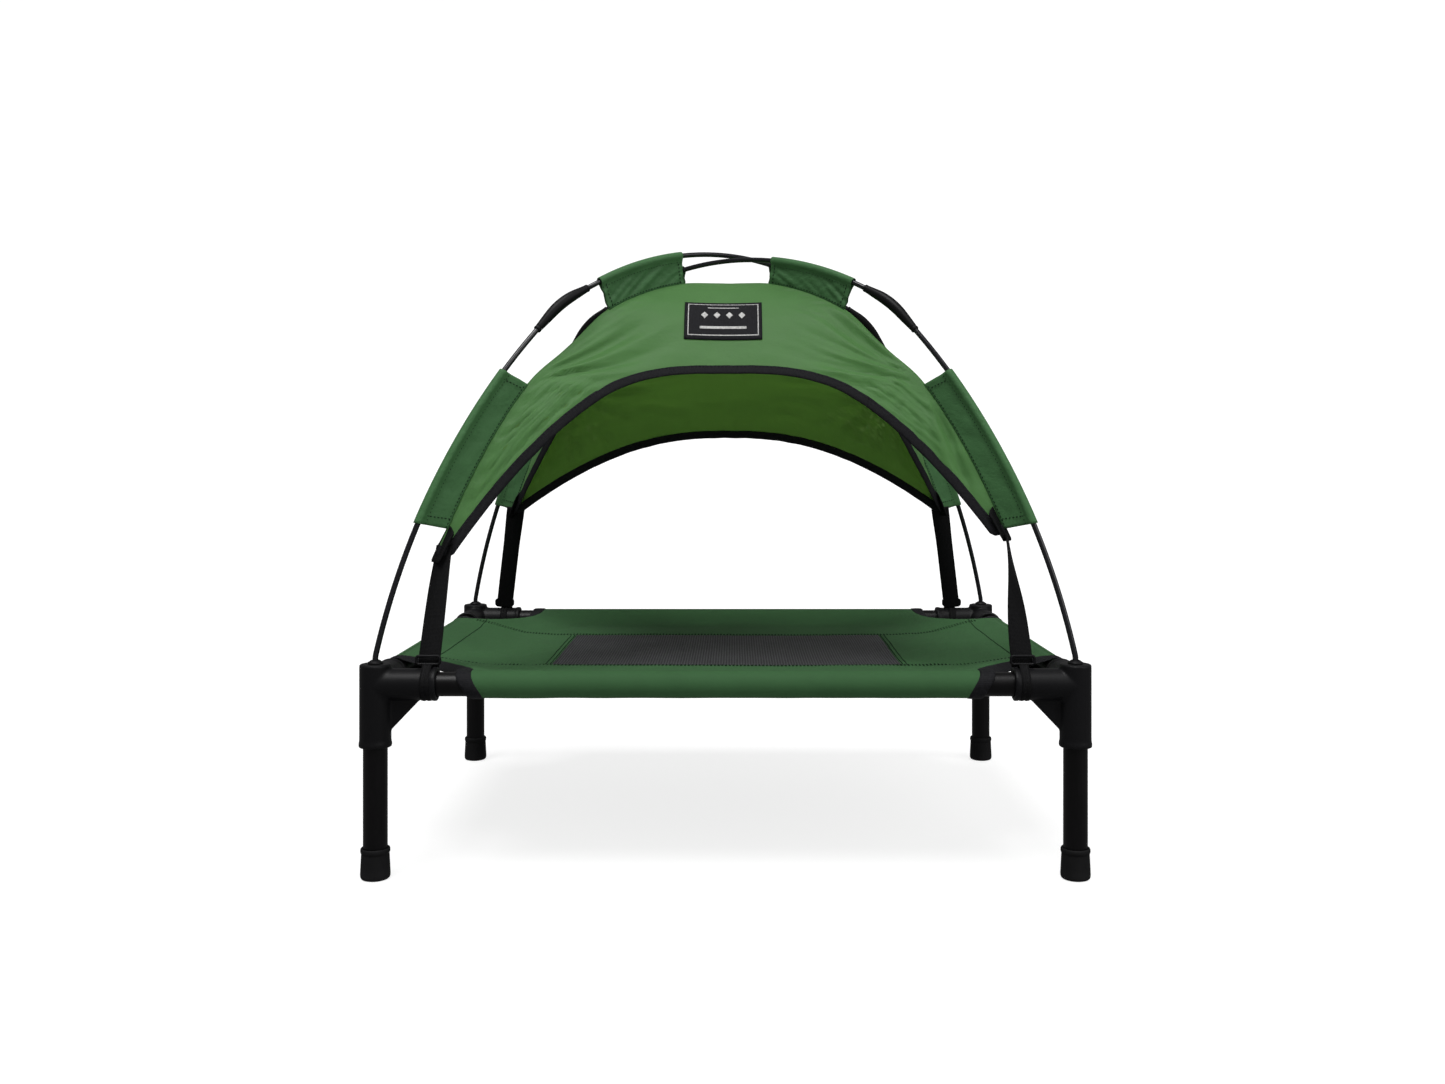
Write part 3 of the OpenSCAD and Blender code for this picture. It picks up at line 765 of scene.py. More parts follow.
def cloth_normal(name, s, u):
    step = 0.002
    du = 0.02
    low, high = max(u - du, -1.0), min(u + du, 1.0)
    along = flat_point(name, s + step, u) - flat_point(name, s - step, u)
    across = flat_point(name, s, high) - flat_point(name, s, low)
    normal = np.cross(across, along)
    return normal / np.linalg.norm(normal)


def canopy_point(name, s, u, lift=0.0):
    """A point of the finished canopy, lifted off its surface, and its normal."""
    panel = PANELS[name]
    normal = cloth_normal(name, s, u)
    point = flat_point(name, s, u) + normal * (wrinkle(panel, s, u) + lift)
    return turned(point, panel["turn"]), turned(normal, panel["turn"])


PANEL_ROWS = 96
PANEL_COLUMNS = 104
SEAM_START = 0.002


def make_canopy():
    shape = Shape()
    for name, panel in PANELS.items():
        points, uvs = [], []
        for i in range(PANEL_ROWS + 1):
            for j in range(PANEL_COLUMNS + 1):
                t = 2 * j / PANEL_COLUMNS - 1
                u = math.sin(t * math.pi / 2) * 0.35 + t * 0.65
                s = SEAM_START + (edge_s(panel, u) - 0.001 - SEAM_START) * i / PANEL_ROWS
                points.append(canopy_point(name, s, u)[0])
                uvs.append((u * panel["half"] * s, s * 1.15 + panel["turn"]))
        shape.add(points, grid_faces(PANEL_ROWS + 1, PANEL_COLUMNS + 1), uvs)
    nodes = ["canopy_front", "canopy_rear", "canopy_left", "canopy_right"]
    obj = piece("canopy_cloth", shape, "canopy", MAT_CANOPY, nodes)
    obj.data.materials.append(MAT_LINING)
    merge_close(obj.data, 1e-5)
    fix_normals(obj.data)
    if obj.data.polygons[0].normal.z < 0:
        obj.data.flip_normals()
    solidify(obj, CLOTH_T)
    obj.modifiers["thickness"].material_offset = 1
    apply_modifiers(obj)
    return obj


CANOPY = make_canopy()

# ------------------------------------------------------------------ bound edges

BINDING_W = 0.0082
# Section of the folded tape: how far in from the edge, as a share of the tape's width,
# and how far off the cloth, in metres.
TAPE_SIDE = [
    (1.0, 0.0004), (0.97, 0.00085), (0.85, 0.0010), (0.55, 0.00115), (0.25, 0.0011), (0.06, 0.0009),
    (-0.05, 0.0004),
]
TAPE_SECTION = TAPE_SIDE + [(-0.08, 0.0)] + [(share, -lift) for share, lift in reversed(TAPE_SIDE)]


def tape_along(edge, inward, normals, width, seed=0.0):
    """Points, faces and cloth coordinates of a tape folded over an edge."""
    points, uvs = [], []
    run = 0.0
    for k, (at, way, normal) in enumerate(zip(edge, inward, normals)):
        if k:
            run += float(np.linalg.norm(at - edge[k - 1]))
        pucker = 1 + 0.22 * swirl(run / 0.006, seed) + 0.15 * swirl(run / 0.019, seed + 4)
        for share, lift in TAPE_SECTION:
            side = 0.00035 * swirl(run / 0.012, seed + 9)
            points.append(at + way * (share * width + side) + normal * lift * pucker)
            uvs.append((run, share * width + (0.02 if lift < 0 else 0.0)))
    size = (len(edge), len(TAPE_SECTION))
    return points, grid_faces(*size) + end_caps(*size), uvs


def canopy_edge(name):
    """The edge of a panel with its inward ways and normals."""
    panel = PANELS[name]
    steps = 150
    edge, inward, normals = [], [], []
    for k in range(steps + 1):
        u = -1 + 2 * k / steps
        s = edge_s(panel, u)
        at, normal = canopy_point(name, s, u)
        inner = canopy_point(name, s - 0.006, u)[0]
        edge.append(at)
        inward.append(inner - at)
        normals.append(normal)
    for k in range(steps + 1):
        ahead = edge[min(k + 1, steps)] - edge[max(k - 1, 0)]
        ahead /= np.linalg.norm(ahead)
        way = inward[k] - ahead * inward[k].dot(ahead)
        inward[k] = way / np.linalg.norm(way)
        normal = np.cross(ahead, inward[k])
        normals[k] = normal * (1 if normal.dot(normals[k]) > 0 else -1)
    return edge, inward, normals


def make_canopy_binding():
    shape, seams = Shape(), []
    for seed, name in enumerate(PANELS):
        edge, inward, normals = canopy_edge(name)
        shape.add(*tape_along(edge, inward, normals, BINDING_W, seed * 7.0))
        line = [e + w * BINDING_W * 0.84 + n * 0.0011 for e, w, n in zip(edge, inward, normals)]
        seams.append((line, normals))
    piece("canopy_edge_tape", shape, "canopy", MAT_TAPE, ["canopy_binding"], True)
    stitches("canopy_edge_stitches", seams, "canopy", MAT_BLACK_THREAD)


make_canopy_binding()

# ------------------------------------------------------------------ fins

FIN_HALF = 0.0007
FIN_SLEEVE_R = ROD_R + 0.0012
FIN_ROWS = 60
FIN_T = 0.0004
WEB_STEPS = 12
ROUND_STEPS = 14
# The round of the sleeve goes about the pole between these two turns, in degrees.
ROUND_FROM, ROUND_TO = 28, 332


def fin_lines(corner, level):
    """Matching points along the pole and along the seam of a fin, from its outer end."""
    if level == "lower":
        poles = arc(LOWER_CENTRE, LOWER_R, FIN_LOW[0], FIN_LOW[1], FIN_ROWS)
        outer, inner = FIN_LOW_S[1], FIN_LOW_S[0]
    else:
        radius = UPPER_R[pole_kind(corner)]
        outer, inner = FIN_HIGH_S[1], FIN_HIGH_S[0]
        first = math.degrees(math.acos((outer + FIN_HIGH_FLARE[1]) / radius))
        last = math.degrees(math.acos((inner + FIN_HIGH_FLARE[0]) / radius))
        poles = arc(upper_centre(radius), radius, first, last, FIN_ROWS)
    seams = []
    for k in range(FIN_ROWS + 1):
        s = outer + (inner - outer) * k / FIN_ROWS
        seams.append(np.array([s, seam_z(s) - 0.0008]))
    return poles, seams


# Waves of a fin's web: how fast each runs along the fin, slants and changes with depth,
# its own number and its height.
FIN_WAVES = {
    "lower": ((6.0, 0.0, 1.2, 0, 0.0011), (19.0, 3.0, 1.5, 2, 0.0006)),
    "upper": ((9.0, 4.5, 0.8, 0, 0.0021), (22.0, -5.0, 1.5, 2, 0.0008)),
}


def fin_bulge(level, corner, run, depth):
    """How far a fin's web stands aside from its plane."""
    seed = 3.1 * list(CORNERS).index(corner) + (17.0 if level == "upper" else 0.0)
    folds = 0.0
    for along, slant, down, number, height in FIN_WAVES[level]:
        folds += swirl(run * along + depth * slant + seed, depth * down, seed + number) * height
    return folds * math.sin(math.pi * min(max(depth, 0.0), 1.0)) ** 0.7


def make_fin(corner, level):
    poles, seams = fin_lines(corner, level)
    section = [("web", 1 - k / WEB_STEPS, 1.0) for k in range(WEB_STEPS + 1)]
    section += [("round", k / ROUND_STEPS, 0.0) for k in range(1, ROUND_STEPS)]
    section += [("web", k / WEB_STEPS, -1.0) for k in range(WEB_STEPS + 1)]
    points, uvs, seam_paths = [], [], {1.0: [], -1.0: []}
    foot_paths = {1.0: [], -1.0: []}
    for i, (pole, seam) in enumerate(zip(poles, seams)):
        run = i / FIN_ROWS
        width = float(np.linalg.norm(seam - pole))
        down = (seam - pole) / width
        # The web starts where it leaves the round of the sleeve.
        top = FIN_SLEEVE_R * 0.98
        hem = 1.0 + 0.35 * (smoothstep(0.06, 0.05, run) + smoothstep(0.94, 0.95, run))
        for kind, share, side in section:
            if kind == "web":
                depth = share
                aside = fin_bulge(level, corner, run, depth) + side * FIN_HALF * hem
                near = 1 - smoothstep(0.0, 0.22, depth)
                aside += side * (FIN_SLEEVE_R * 0.55 - FIN_HALF) * near**2
                at = pole + down * (top + (width - top) * depth)
            else:
                angle = math.radians(ROUND_FROM + (ROUND_TO - ROUND_FROM) * share)
                aside = math.sin(angle) * FIN_SLEEVE_R
                at = pole + down * math.cos(angle) * FIN_SLEEVE_R
            points.append(in_plane(at, corner, aside))
            uvs.append((run * 0.15, share * 0.03 + (0.05 if side < 0 else 0)))
        for side in (1.0, -1.0):
            depth = 0.1
            aside = fin_bulge(level, corner, run, depth) + side * (FIN_HALF * hem + 0.0006)
            seam_paths[side].append(in_plane(pole + down * (top + (width - top) * depth), corner, aside))
            aside = side * (FIN_HALF * hem + 0.0006)
            foot_paths[side].append(in_plane(pole + down * (width - 0.0022), corner, aside))
    name = f"{level}_fin_{corner}"
    shape = Shape((points, grid_faces(len(poles), len(section)), uvs))
    obj = piece("cloth_" + name, shape, "canopy", MAT_FIN, [name], True)
    solidify(obj, FIN_T, 1.0)
    apply_modifiers(obj)
    side_x, side_y = CORNERS[corner]
    flat = np.array([-side_x * SIN_D, side_y * COS_D, 0.0])
    lines = []
    for side in (1.0, -1.0):
        lines.append((seam_paths[side], [side * flat] * len(poles)))
        lines.append((foot_paths[side], [side * flat] * len(poles)))
        for run in (0.055, 0.945):
            k = round(run * FIN_ROWS)
            pole, seam = poles[k], seams[k]
            hem_line = []
            for step in range(13):
                depth = 0.12 + 0.86 * step / 12
                aside = fin_bulge(level, corner, k / FIN_ROWS, depth) + side * (FIN_HALF * 1.3 + 0.0007)
                hem_line.append(in_plane(pole + (seam - pole) * depth, corner, aside))
            lines.append((hem_line, [side * flat] * len(hem_line)))
    return obj, lines


FINS = {}
fin_seams = []
for place in CORNERS:
    for level in ("lower", "upper"):
        FINS[(place, level)], seams_here = make_fin(place, level)
        fin_seams += seams_here
stitches("fin_stitches", fin_seams, "canopy", MAT_THREAD, 0.00048)

# ------------------------------------------------------------------ bed cloth

SLEEVE_R = TUBE_R + 0.0011
BITE_R = 0.068
TRIM_W = 0.012
BED_T = 0.0007
CREST_Z = RAIL_Z + SLEEVE_R
# How far in from a rail's middle the cloth still follows the rail.
CREST_W = 0.004
# How far in from the side rails and the front and rear rails the cloth takes to fall.
FALL_X = 0.110
FALL_Y = 0.050
# How deep the bed sags, pulls and creases, and how far its cut-outs droop.
BED_SAG = 0.0015
BED_PULL = 0.0010
BED_CREASE = 0.0005
BITE_DROOP = 0.008


def fall(inset, reach):
    t = min(max((inset - CREST_W) / reach, 0.0), 1.0)
    return 1 - (1 - t) ** 2.2


def bed_height(x, y):
    """Height of the bed's top cloth, which is held up by the rails and its bound corners."""
    inset_x = max(LEG_X - abs(x), 0.0)
    inset_y = max(LEG_Y - abs(y), 0.0)
    rounded = min(inset_x, inset_y)
    if rounded < CREST_W:
        return CREST_Z - SLEEVE_R + math.sqrt(SLEEVE_R**2 - (CREST_W - rounded) ** 2 * 0.2)
    from_bite = math.hypot(inset_x, inset_y) - BITE_R
    held = smoothstep(-0.012, 0.066, from_bite)
    low = fall(inset_x, FALL_X) * fall(inset_y, FALL_Y) * held
    sag = BED_SAG * max(1 - (x / 0.2) ** 2, 0) * max(1 - (y / 0.14) ** 2, 0)
    pull = swirl(x / 0.11, y / 0.09, 2.0) * BED_PULL
    creases = swirl((x + y) / 0.016, (x - y) / 0.10, 5.0) * BED_CREASE
    creases += swirl((x - y) / 0.016, (x + y) / 0.10, 8.0) * BED_CREASE
    # The bound edge of each cut-out droops between the rails.
    share = max(1 - from_bite / 0.016, 0.0)
    droop = BITE_DROOP * min(share, 1.0) ** 1.5 * 2 * inset_x * inset_y / BITE_R**2
    taut = 0.4 + 0.6 * smoothstep(0.150, 0.175, abs(x))
    return CREST_Z - (CREST_Z - DECK_Z) * low - sag - droop + low * (pull + creases * taut)


def bite_limit(inset_y):
    """How far out in X the bed cloth reaches at a distance in from the front or rear rail."""
    if inset_y >= BITE_R:
        return LEG_X
    return LEG_X - math.sqrt(BITE_R**2 - inset_y**2)


def bed_rows():
    """Y of each row of the bed's top, closer together along the corner bites."""
    steps = 22
    bites = [BITE_R * math.sin(math.pi / 2 * k / steps) for k in range(steps + 1)]
    edge = LEG_Y - BITE_R
    belt = [edge + (MESH_Y - edge) * k / 14 for k in range(1, 15)]
    middle = [MESH_Y * (1 - k / 24) for k in range(1, 24)]
    half = [LEG_Y - inset for inset in bites] + belt + middle
    return [-y for y in half] + [0.0] + list(reversed(half))


def make_bed_top():
    rows = bed_rows()
    centre_columns = 60
    side_columns = 26
    points, uvs = [], []
    for y in rows:
        limit = bite_limit(LEG_Y - abs(y))
        xs = [-(MESH_X + (limit - MESH_X) * (1 - k / side_columns)) for k in range(side_columns)]
        xs += [-MESH_X + 2 * MESH_X * k / centre_columns for k in range(centre_columns + 1)]
        xs += [-x for x in reversed(xs[:side_columns])]
        for x in xs:
            points.append((x, y, bed_height(x, y)))
            uvs.append((x, y))
    columns = len(xs)
    green, window = [], []
    for i, face in enumerate(grid_faces(len(rows), columns)):
        row, column = divmod(i, columns - 1)
        inside = side_columns <= column < side_columns + centre_columns
        middle = (rows[row] + rows[row + 1]) / 2
        (window if inside and abs(middle) < MESH_Y else green).append(face)
    return points, uvs, green, window


SEAM_DROP = -0.003


def wrap_section():
    """Section of a rail sleeve from its crest round the outside and back to the seam.

    Each entry is (inset, height above the rail axis).
    """
    section = []
    for k in range(27):
        a = math.radians(90 + 180 * k / 26)
        section.append((SLEEVE_R * math.cos(a), SLEEVE_R * math.sin(a)))
    for k in range(1, 9):
        t = k / 8
        section.append((SEAM_INSET * t, -SLEEVE_R + (SEAM_DROP + SLEEVE_R) * t))
    return section


def sleeve_reach(span, inset, height):
    """How far along its rail a sleeve reaches, at one place of its section."""
    reach = span - math.sqrt(BITE_R**2 - min(max(inset, 0), BITE_R) ** 2)
    slant = 0.010 * smoothstep(0.012, -0.012, height) * (1 - smoothstep(0.0, 0.03, inset))
    return reach - slant


def make_wrap(along_x, side):
    """The part of a rail sleeve below the crest, as points, faces and cloth coordinates."""
    section = wrap_section()
    span, across = (LEG_X, LEG_Y) if along_x else (LEG_Y, LEG_X)
    steps = 90
    points, uvs = [], []
    for k in range(steps + 1):
        t = -1 + 2 * k / steps
        girth = 0.0
        before = section[0]
        for inset, height in section:
            girth += math.dist(before, (inset, height))
            before = (inset, height)
            along = t * sleeve_reach(span, inset, height)
            ripple = 0.0004 * swirl(along / 0.04, girth / 0.02, side * 3 + along_x)
            place = across - inset
            z = RAIL_Z + height + (ripple if height < 0 else 0)
            points.append((along, side * place, z) if along_x else (side * place, along, z))
            uvs.append((along, girth) if along_x else (girth, along))
    return points, grid_faces(steps + 1, len(section)), uvs


def sheet_piece(name, shape, material, nodes):
    """A thin cloth piece of the bed."""
    obj = piece(name, shape, "cot", material, nodes)
    remove_loose(obj.data)
    solidify(obj, BED_T)
    apply_modifiers(obj)
    return obj


def make_bed():
    points, uvs, green, window = make_bed_top()
    shape = Shape((points, green, uvs))
    for along_x, side in ((True, -1), (True, 1), (False, -1), (False, 1)):
        shape.add(*make_wrap(along_x, side))
    nodes = ["sleeve_front", "sleeve_rear", "sleeve_left", "sleeve_right", "deck_left", "deck_right"]
    bed = sheet_piece("bed_cloth", shape, MAT_DECK, nodes)
    middle = Shape((points, window, uvs))
    return bed, sheet_piece("bed_mesh_window", middle, MAT_MESH, ["mesh_panel"])


BED, BED_MESH = make_bed()


def seam_line(side, shift):
    """A seam across the bed at the window's front or rear edge, bent out at its ends."""
    path = []
    for k in range(221):
        x = -0.272 + 0.544 * k / 220
        y = MESH_Y + shift + 0.026 * smoothstep(0.180, 0.285, abs(x))
        path.append(np.array([x, side * y, bed_height(x, y) + BED_T / 2 + 0.0002]))
    return path


def bed_seams():
    """Stitch lines of the bed, with their normals."""
    beside_window = [(MESH_X + shift, MESH_Y) for shift in (0.0015, 0.0055)]
    # Where the rail sleeve is sewn down, just in from the rail.
    along_sleeve = (LEG_X - SEAM_INSET, LEG_Y - BITE_R)
    paths = []
    for side in (-1, 1):
        paths += [seam_line(side, shift) for shift in (0.0016, 0.0058)]
        for x, reach in (*beside_window, along_sleeve):
            places = [(side * x, reach * (2 * k / 120 - 1)) for k in range(121)]
            paths.append([np.array([x, y, bed_height(x, y) + BED_T / 2 + 0.0001]) for x, y in places])
    return [(path, [np.array([0.0, 0.0, 1.0])] * len(path)) for path in paths]


stitches("bed_stitches", bed_seams(), "cot", MAT_THREAD, 0.0005)


def make_bed_trims():
    """Black tape bound round the four corner bites and the sleeves' open ends."""
    shape = Shape()
    for number, (side_x, side_y) in enumerate(CORNERS.values()):
        # Over the top, along the bite.
        edge, inward, normals = [], [], []
        for k in range(61):
            a = math.pi / 2 * k / 60
            out = np.array([-math.cos(a) * side_x, -math.sin(a) * side_y, 0.0])
            here = np.array([side_x * LEG_X, side_y * LEG_Y, 0.0]) + out * BITE_R
            there = here + out * TRIM_W
            here[2] = bed_height(here[0], here[1])
            there[2] = bed_height(there[0], there[1])
            way = (there - here) / np.linalg.norm(there - here)
            edge.append(here)
            inward.append(way)
        for k in range(61):
            ahead = edge[min(k + 1, 60)] - edge[max(k - 1, 0)]
            normal = np.cross(ahead / np.linalg.norm(ahead), inward[k])
            normal /= np.linalg.norm(normal)
            normals.append(normal if normal[2] > 0 else -normal)
        shape.add(*tape_along(edge, inward, normals, TRIM_W, number * 5.0))
        # Round the end of each sleeve.
        for along_x in (True, False):
            edge, inward, normals = sleeve_end(along_x, side_x, side_y)
            shape.add(*tape_along(edge, inward, normals, TRIM_W, number * 5.0 + 2 + along_x))
    piece("bed_corner_tape", shape, "cot", MAT_TAPE, ["corner_trims"], True)


def sleeve_end(along_x, side_x, side_y):
    """The open end of a rail sleeve, with its inward ways and normals."""
    section = wrap_section()
    span, across = (LEG_X, LEG_Y) if along_x else (LEG_Y, LEG_X)
    sign_along, sign_across = (side_x, side_y) if along_x else (side_y, side_x)
    edge, inward, normals = [], [], []
    for k, (inset, height) in enumerate(section):
        along = sign_along * sleeve_reach(span, inset, height)
        place = sign_across * (across - inset)
        at = (along, place) if along_x else (place, along)
        edge.append(np.array([at[0], at[1], RAIL_Z + height]))
        way = (-sign_along, 0.0) if along_x else (0.0, -sign_along)
        inward.append(np.array([way[0], way[1], 0.0]))
        before = section[max(k - 1, 0)]
        after = section[min(k + 1, len(section) - 1)]
        run = np.array([after[0] - before[0], after[1] - before[1]])
        run /= np.linalg.norm(run)
        outwards = (-run[1], run[0])
        flat = -sign_across * outwards[0]
        normals.append(
            np.array([0.0, flat, outwards[1]]) if along_x else np.array([flat, 0.0, outwards[1]])
        )
    return edge, inward, normals


make_bed_trims()

# ------------------------------------------------------------------ label

LABEL_X = -0.003
LABEL_W = 0.072
LABEL_H = 0.048
LABEL_S = (0.1135, 0.1620)


def label_point(a, b, lift):
    """A point of the label, with a and b from 0 to 1 across it and down it."""
    s = LABEL_S[0] + (LABEL_S[1] - LABEL_S[0]) * b
    x = LABEL_X + LABEL_W * (a - 0.5)
    panel = PANELS["front"]
    u = -x / (panel["half"] * s)
    return canopy_point("front", s, u, lift)[0]


def label_patch(outline, lift):
    """A thin raised patch over a four-sided outline on the label."""
    steps_a, steps_b = 24, 16
    points, uvs = [], []
    corner = [np.array(p, float) for p in outline]
    for i in range(steps_b + 1):
        for j in range(steps_a + 1):
            a, b = j / steps_a, i / steps_b
            at = (corner[0] * (1 - a) + corner[1] * a) * (1 - b) + (corner[3] * (1 - a) + corner[2] * a) * b
            points.append(label_point(at[0], at[1], lift))
            uvs.append((at[0] * LABEL_W, at[1] * LABEL_H))
    return points, grid_faces(steps_b + 1, steps_a + 1), uvs


def label_object(name, patches, lift, thickness, material, nodes=()):
    shape = Shape(*[label_patch(outline, lift) for outline in patches])
    obj = piece(name, shape, "canopy", material, nodes, True)
    solidify(obj, thickness, -1.0)
    apply_modifiers(obj)
    return obj


def oblong(left, top, right, bottom):
    return [(left, top), (right, top), (right, bottom), (left, bottom)]


def frame_strips(left, top, right, bottom, wide, tall):
    return [
        oblong(left, top, right, top + tall),
        oblong(left, bottom - tall, right, bottom),
        oblong(left, top, left + wide, bottom),
        oblong(right - wide, top, right, bottom),
    ]


def diamond(x, y, half_x, half_y):
    return [(x, y - half_y), (x + half_x, y), (x, y + half_y), (x - half_x, y)]


def make_label():
    whole = oblong(0, 0, 1, 1)
    patch = label_object("label_patch_cloth", [whole], 0.0012, 0.0009, MAT_LABEL, ["label_patch"])
    marks = frame_strips(0.045, 0.075, 0.955, 0.925, 0.012, 0.018)
    marks += [diamond(x, 0.46, 0.045, 0.10) for x in (0.26, 0.42, 0.58, 0.74)]
    marks.append(oblong(0.2, 0.74, 0.8, 0.79))
    marks.append(oblong(0.3, 0.2, 0.7, 0.225))
    label_object("label_pattern", marks, 0.00135, 0.0003, MAT_LABEL_THREAD)
    return patch


LABEL = make_label()

# ------------------------------------------------------------------ straps and their fittings

STRAP_W = 0.018
STRAP_T = 0.0013
RING_Z = RING_LOW + 0.0045
STRAP_FOOT = (LEG_Y - 0.0045, RING_LOW - 0.001)
# For each strap: the middle of its top at the right and rear, how far its top is turned
# from facing the front, in degrees, and how much wider than its foot it is there.
STRAPS = {
    "front_left": dict(top=(0.2405, 0.1785, 0.274), twist=24, flare=-0.1),
    "front_right": dict(top=(0.2400, 0.1800, 0.283), twist=74, flare=-0.1),
    "rear_left": dict(top=(0.2375, 0.1775, 0.290), twist=0, flare=0.1),
    "rear_right": dict(top=(0.2375, 0.1775, 0.290), twist=8, flare=0.1),
}


def loop_x(side_x, side_y):
    return side_x * (LOOP_X + LOOP_SHIFT[side_y])


def make_strap(corner):
    side_x, side_y = CORNERS[corner]
    strap = STRAPS[corner]
    steps = 60
    section = [(-0.5, 0.3), (-0.47, 0.5), (0.47, 0.5), (0.5, 0.3), (0.5, -0.3), (0.47, -0.5),
               (-0.47, -0.5), (-0.5, -0.3)]
    points, uvs = [], []
    top = np.array(strap["top"]) * (side_x, side_y, 1)
    foot = np.array([loop_x(side_x, side_y), side_y * STRAP_FOOT[0], STRAP_FOOT[1]])
    length = float(np.linalg.norm(top - foot))
    way = (foot - top) / length
    # Facing the front at the foot, and turned by its twist at the top.
    for k in range(steps + 1):
        t = k / steps
        turn = (1 - smoothstep(0.05, 0.95, t)) * math.radians(strap["twist"])
        across = np.array([math.cos(turn), side_x * math.sin(turn), 0.0])
        across -= way * across.dot(way)
        across /= np.linalg.norm(across)
        normal = np.cross(way, across)
        bow = 0.0012 * math.sin(math.pi * t)
        centre = top + (foot - top) * t + normal * bow
        for a, b in section:
            wide = STRAP_W * (1 + strap["flare"] * (1 - smoothstep(0.0, 0.4, t)))
            points.append(centre + across * a * wide + normal * b * STRAP_T)
            uvs.append((a * STRAP_W + (0.05 if b < 0 else 0), t * length))
    faces = grid_faces(steps + 1, len(section), wrap_columns=True) + end_caps(steps + 1, len(section))
    name = "strap_" + corner
    shape = Shape((points, faces, uvs))
    obj = piece("webbing_" + name, shape, None, MAT_WEB, [name], True)
    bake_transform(obj)


for place in CORNERS:
    make_strap(place)


RING_BAR_R = 0.0012


def rounded_ring(centre, half_x, half_z, corner_r, bar_r):
    """A rounded rectangular ring of round bar, upright and facing the front."""
    path = []
    quarter_steps = 12
    for quarter, (sx, sz) in enumerate(((1, 1), (-1, 1), (-1, -1), (1, -1))):
        for k in range(quarter_steps + 1):
            a = math.pi / 2 * (quarter + k / quarter_steps)
            path.append(
                Vector((
                    centre[0] + sx * (half_x - corner_r) + corner_r * math.cos(a),
                    centre[1],
                    centre[2] + sz * (half_z - corner_r) + corner_r * math.sin(a),
                ))
            )
    rings, sides, count = [], 12, len(path)
    for i in range(count):
        tangent = (path[(i + 1) % count] - path[i - 1]).normalized()
        side = Vector((0, 1, 0))
        other = tangent.cross(side)
        for k in range(sides):
            a = 2 * math.pi * k / sides
            rings.append(path[i] + bar_r * (1.15 * math.cos(a) * side + math.sin(a) * other))
    return rings, grid_faces(count, sides, wrap_columns=True, wrap_rows=True)


def make_buckles():
    parts = []
    for side_x, side_y in CORNERS.values():
        centre = (loop_x(side_x, side_y), side_y * (LEG_Y - 0.003), RING_Z)
        parts.append(rounded_ring(centre, 0.0098, 0.0034, 0.0022, RING_BAR_R))
    piece("strap_rings", Shape(*parts), "cot", MAT_PLASTIC, ["strap_buckles"], True)


LOOP_W = 0.0082


def make_strap_loops():
    """Narrow webbing loops round the rail sleeves, through the rings."""
    shape = Shape()
    section = [(-0.5, 0.0), (-0.46, 0.0013), (-0.2, 0.0016), (-0.05, 0.0011), (0.05, 0.0011),
               (0.2, 0.0016), (0.46, 0.0013), (0.5, 0.0)]
    for side_x, side_y in CORNERS.values():
        points, uvs = [], []
        steps = 64
        for k in range(steps):
            a = 2 * math.pi * k / steps
            up = max(math.sin(a), 0.0) ** 24
            radius = SLEEVE_R + 0.0012 + 0.0030 * up
            for share, lift in section:
                r = radius + lift
                points.append((
                    loop_x(side_x, side_y) + share * LOOP_W,
                    side_y * LEG_Y + r * math.cos(a),
                    RAIL_Z + r * math.sin(a),
                ))
                uvs.append((share * LOOP_W, a * 0.0145))
        shape.add(points, grid_faces(steps, len(section), wrap_rows=True, wrap_columns=True), uvs)
    piece("webbing_loops", shape, "cot", MAT_WEB, ["strap_loops"], True)


def make_corner_tabs():
    """Short webbing tabs that join the canopy's corners to the straps."""
    shape = Shape()
    for corner in CORNERS:
        points, uvs = [], []
        rows, columns = 14, 10
        for layer in (1, -1):
            for i in range(rows + 1):
                t = i / rows
                for j in range(columns + 1):
                    a = j / columns - 0.5
                    width = STRAP_W * (1.0 - 0.12 * t)
                    s = CORNER_S[corner] - 0.012 + 0.013 * t
                    z = seam_z(s) - 0.0035 + layer * (0.0011 + 0.0006 * math.sin(math.pi * t))
                    z -= 10 * a * a * 0.0022 * (1 - t)
                    points.append(in_plane((s, z), corner, a * width))
                    uvs.append((a * width, t * 0.017 + (0.03 if layer < 0 else 0)))
        size = (rows + 1) * (columns + 1)
        grid = grid_faces(rows + 1, columns + 1)
        faces = grid + [tuple(size + k for k in reversed(face)) for face in grid]
        rim = list(range(columns + 1))
        rim += [i * (columns + 1) + columns for i in range(1, rows + 1)]
        rim += [rows * (columns + 1) + j for j in range(columns - 1, -1, -1)]
        rim += [i * (columns + 1) for i in range(rows - 1, 0, -1)]
        for k, a in enumerate(rim):
            b = rim[(k + 1) % len(rim)]
            faces.append((a, size + a, size + b, b))
        shape.add(points, faces, uvs)
    piece("canopy_corner_tabs", shape, "canopy", MAT_WEB, ["corner_tabs"], True)


make_buckles()
make_strap_loops()
make_corner_tabs()

# ------------------------------------------------------------------ frame pieces


def make_corner(corner):
    """The moulded connector, with its CAD shape softened at every edge and inner corner."""
    name = "corner_" + corner
    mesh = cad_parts[name].data.copy()
    mesh.materials.clear()
    obj = new_object("moulded_" + name, mesh, "cot", [name])
    remesh = obj.modifiers.new("remesh", "REMESH")
    remesh.mode = "VOXEL"
    remesh.voxel_size = 0.0011
    smooth = obj.modifiers.new("soften", "SMOOTH")
    smooth.factor = 0.5
    smooth.iterations = 6
    apply_modifiers(obj)
    obj.data.polygons.foreach_set("use_smooth", [True] * len(obj.data.polygons))
    obj.data.materials.append(MAT_PLASTIC)


def leg_place(corner, z=0.0):
    side_x, side_y = CORNERS[corner]
    return side_x * LEG_X, side_y * LEG_Y, z


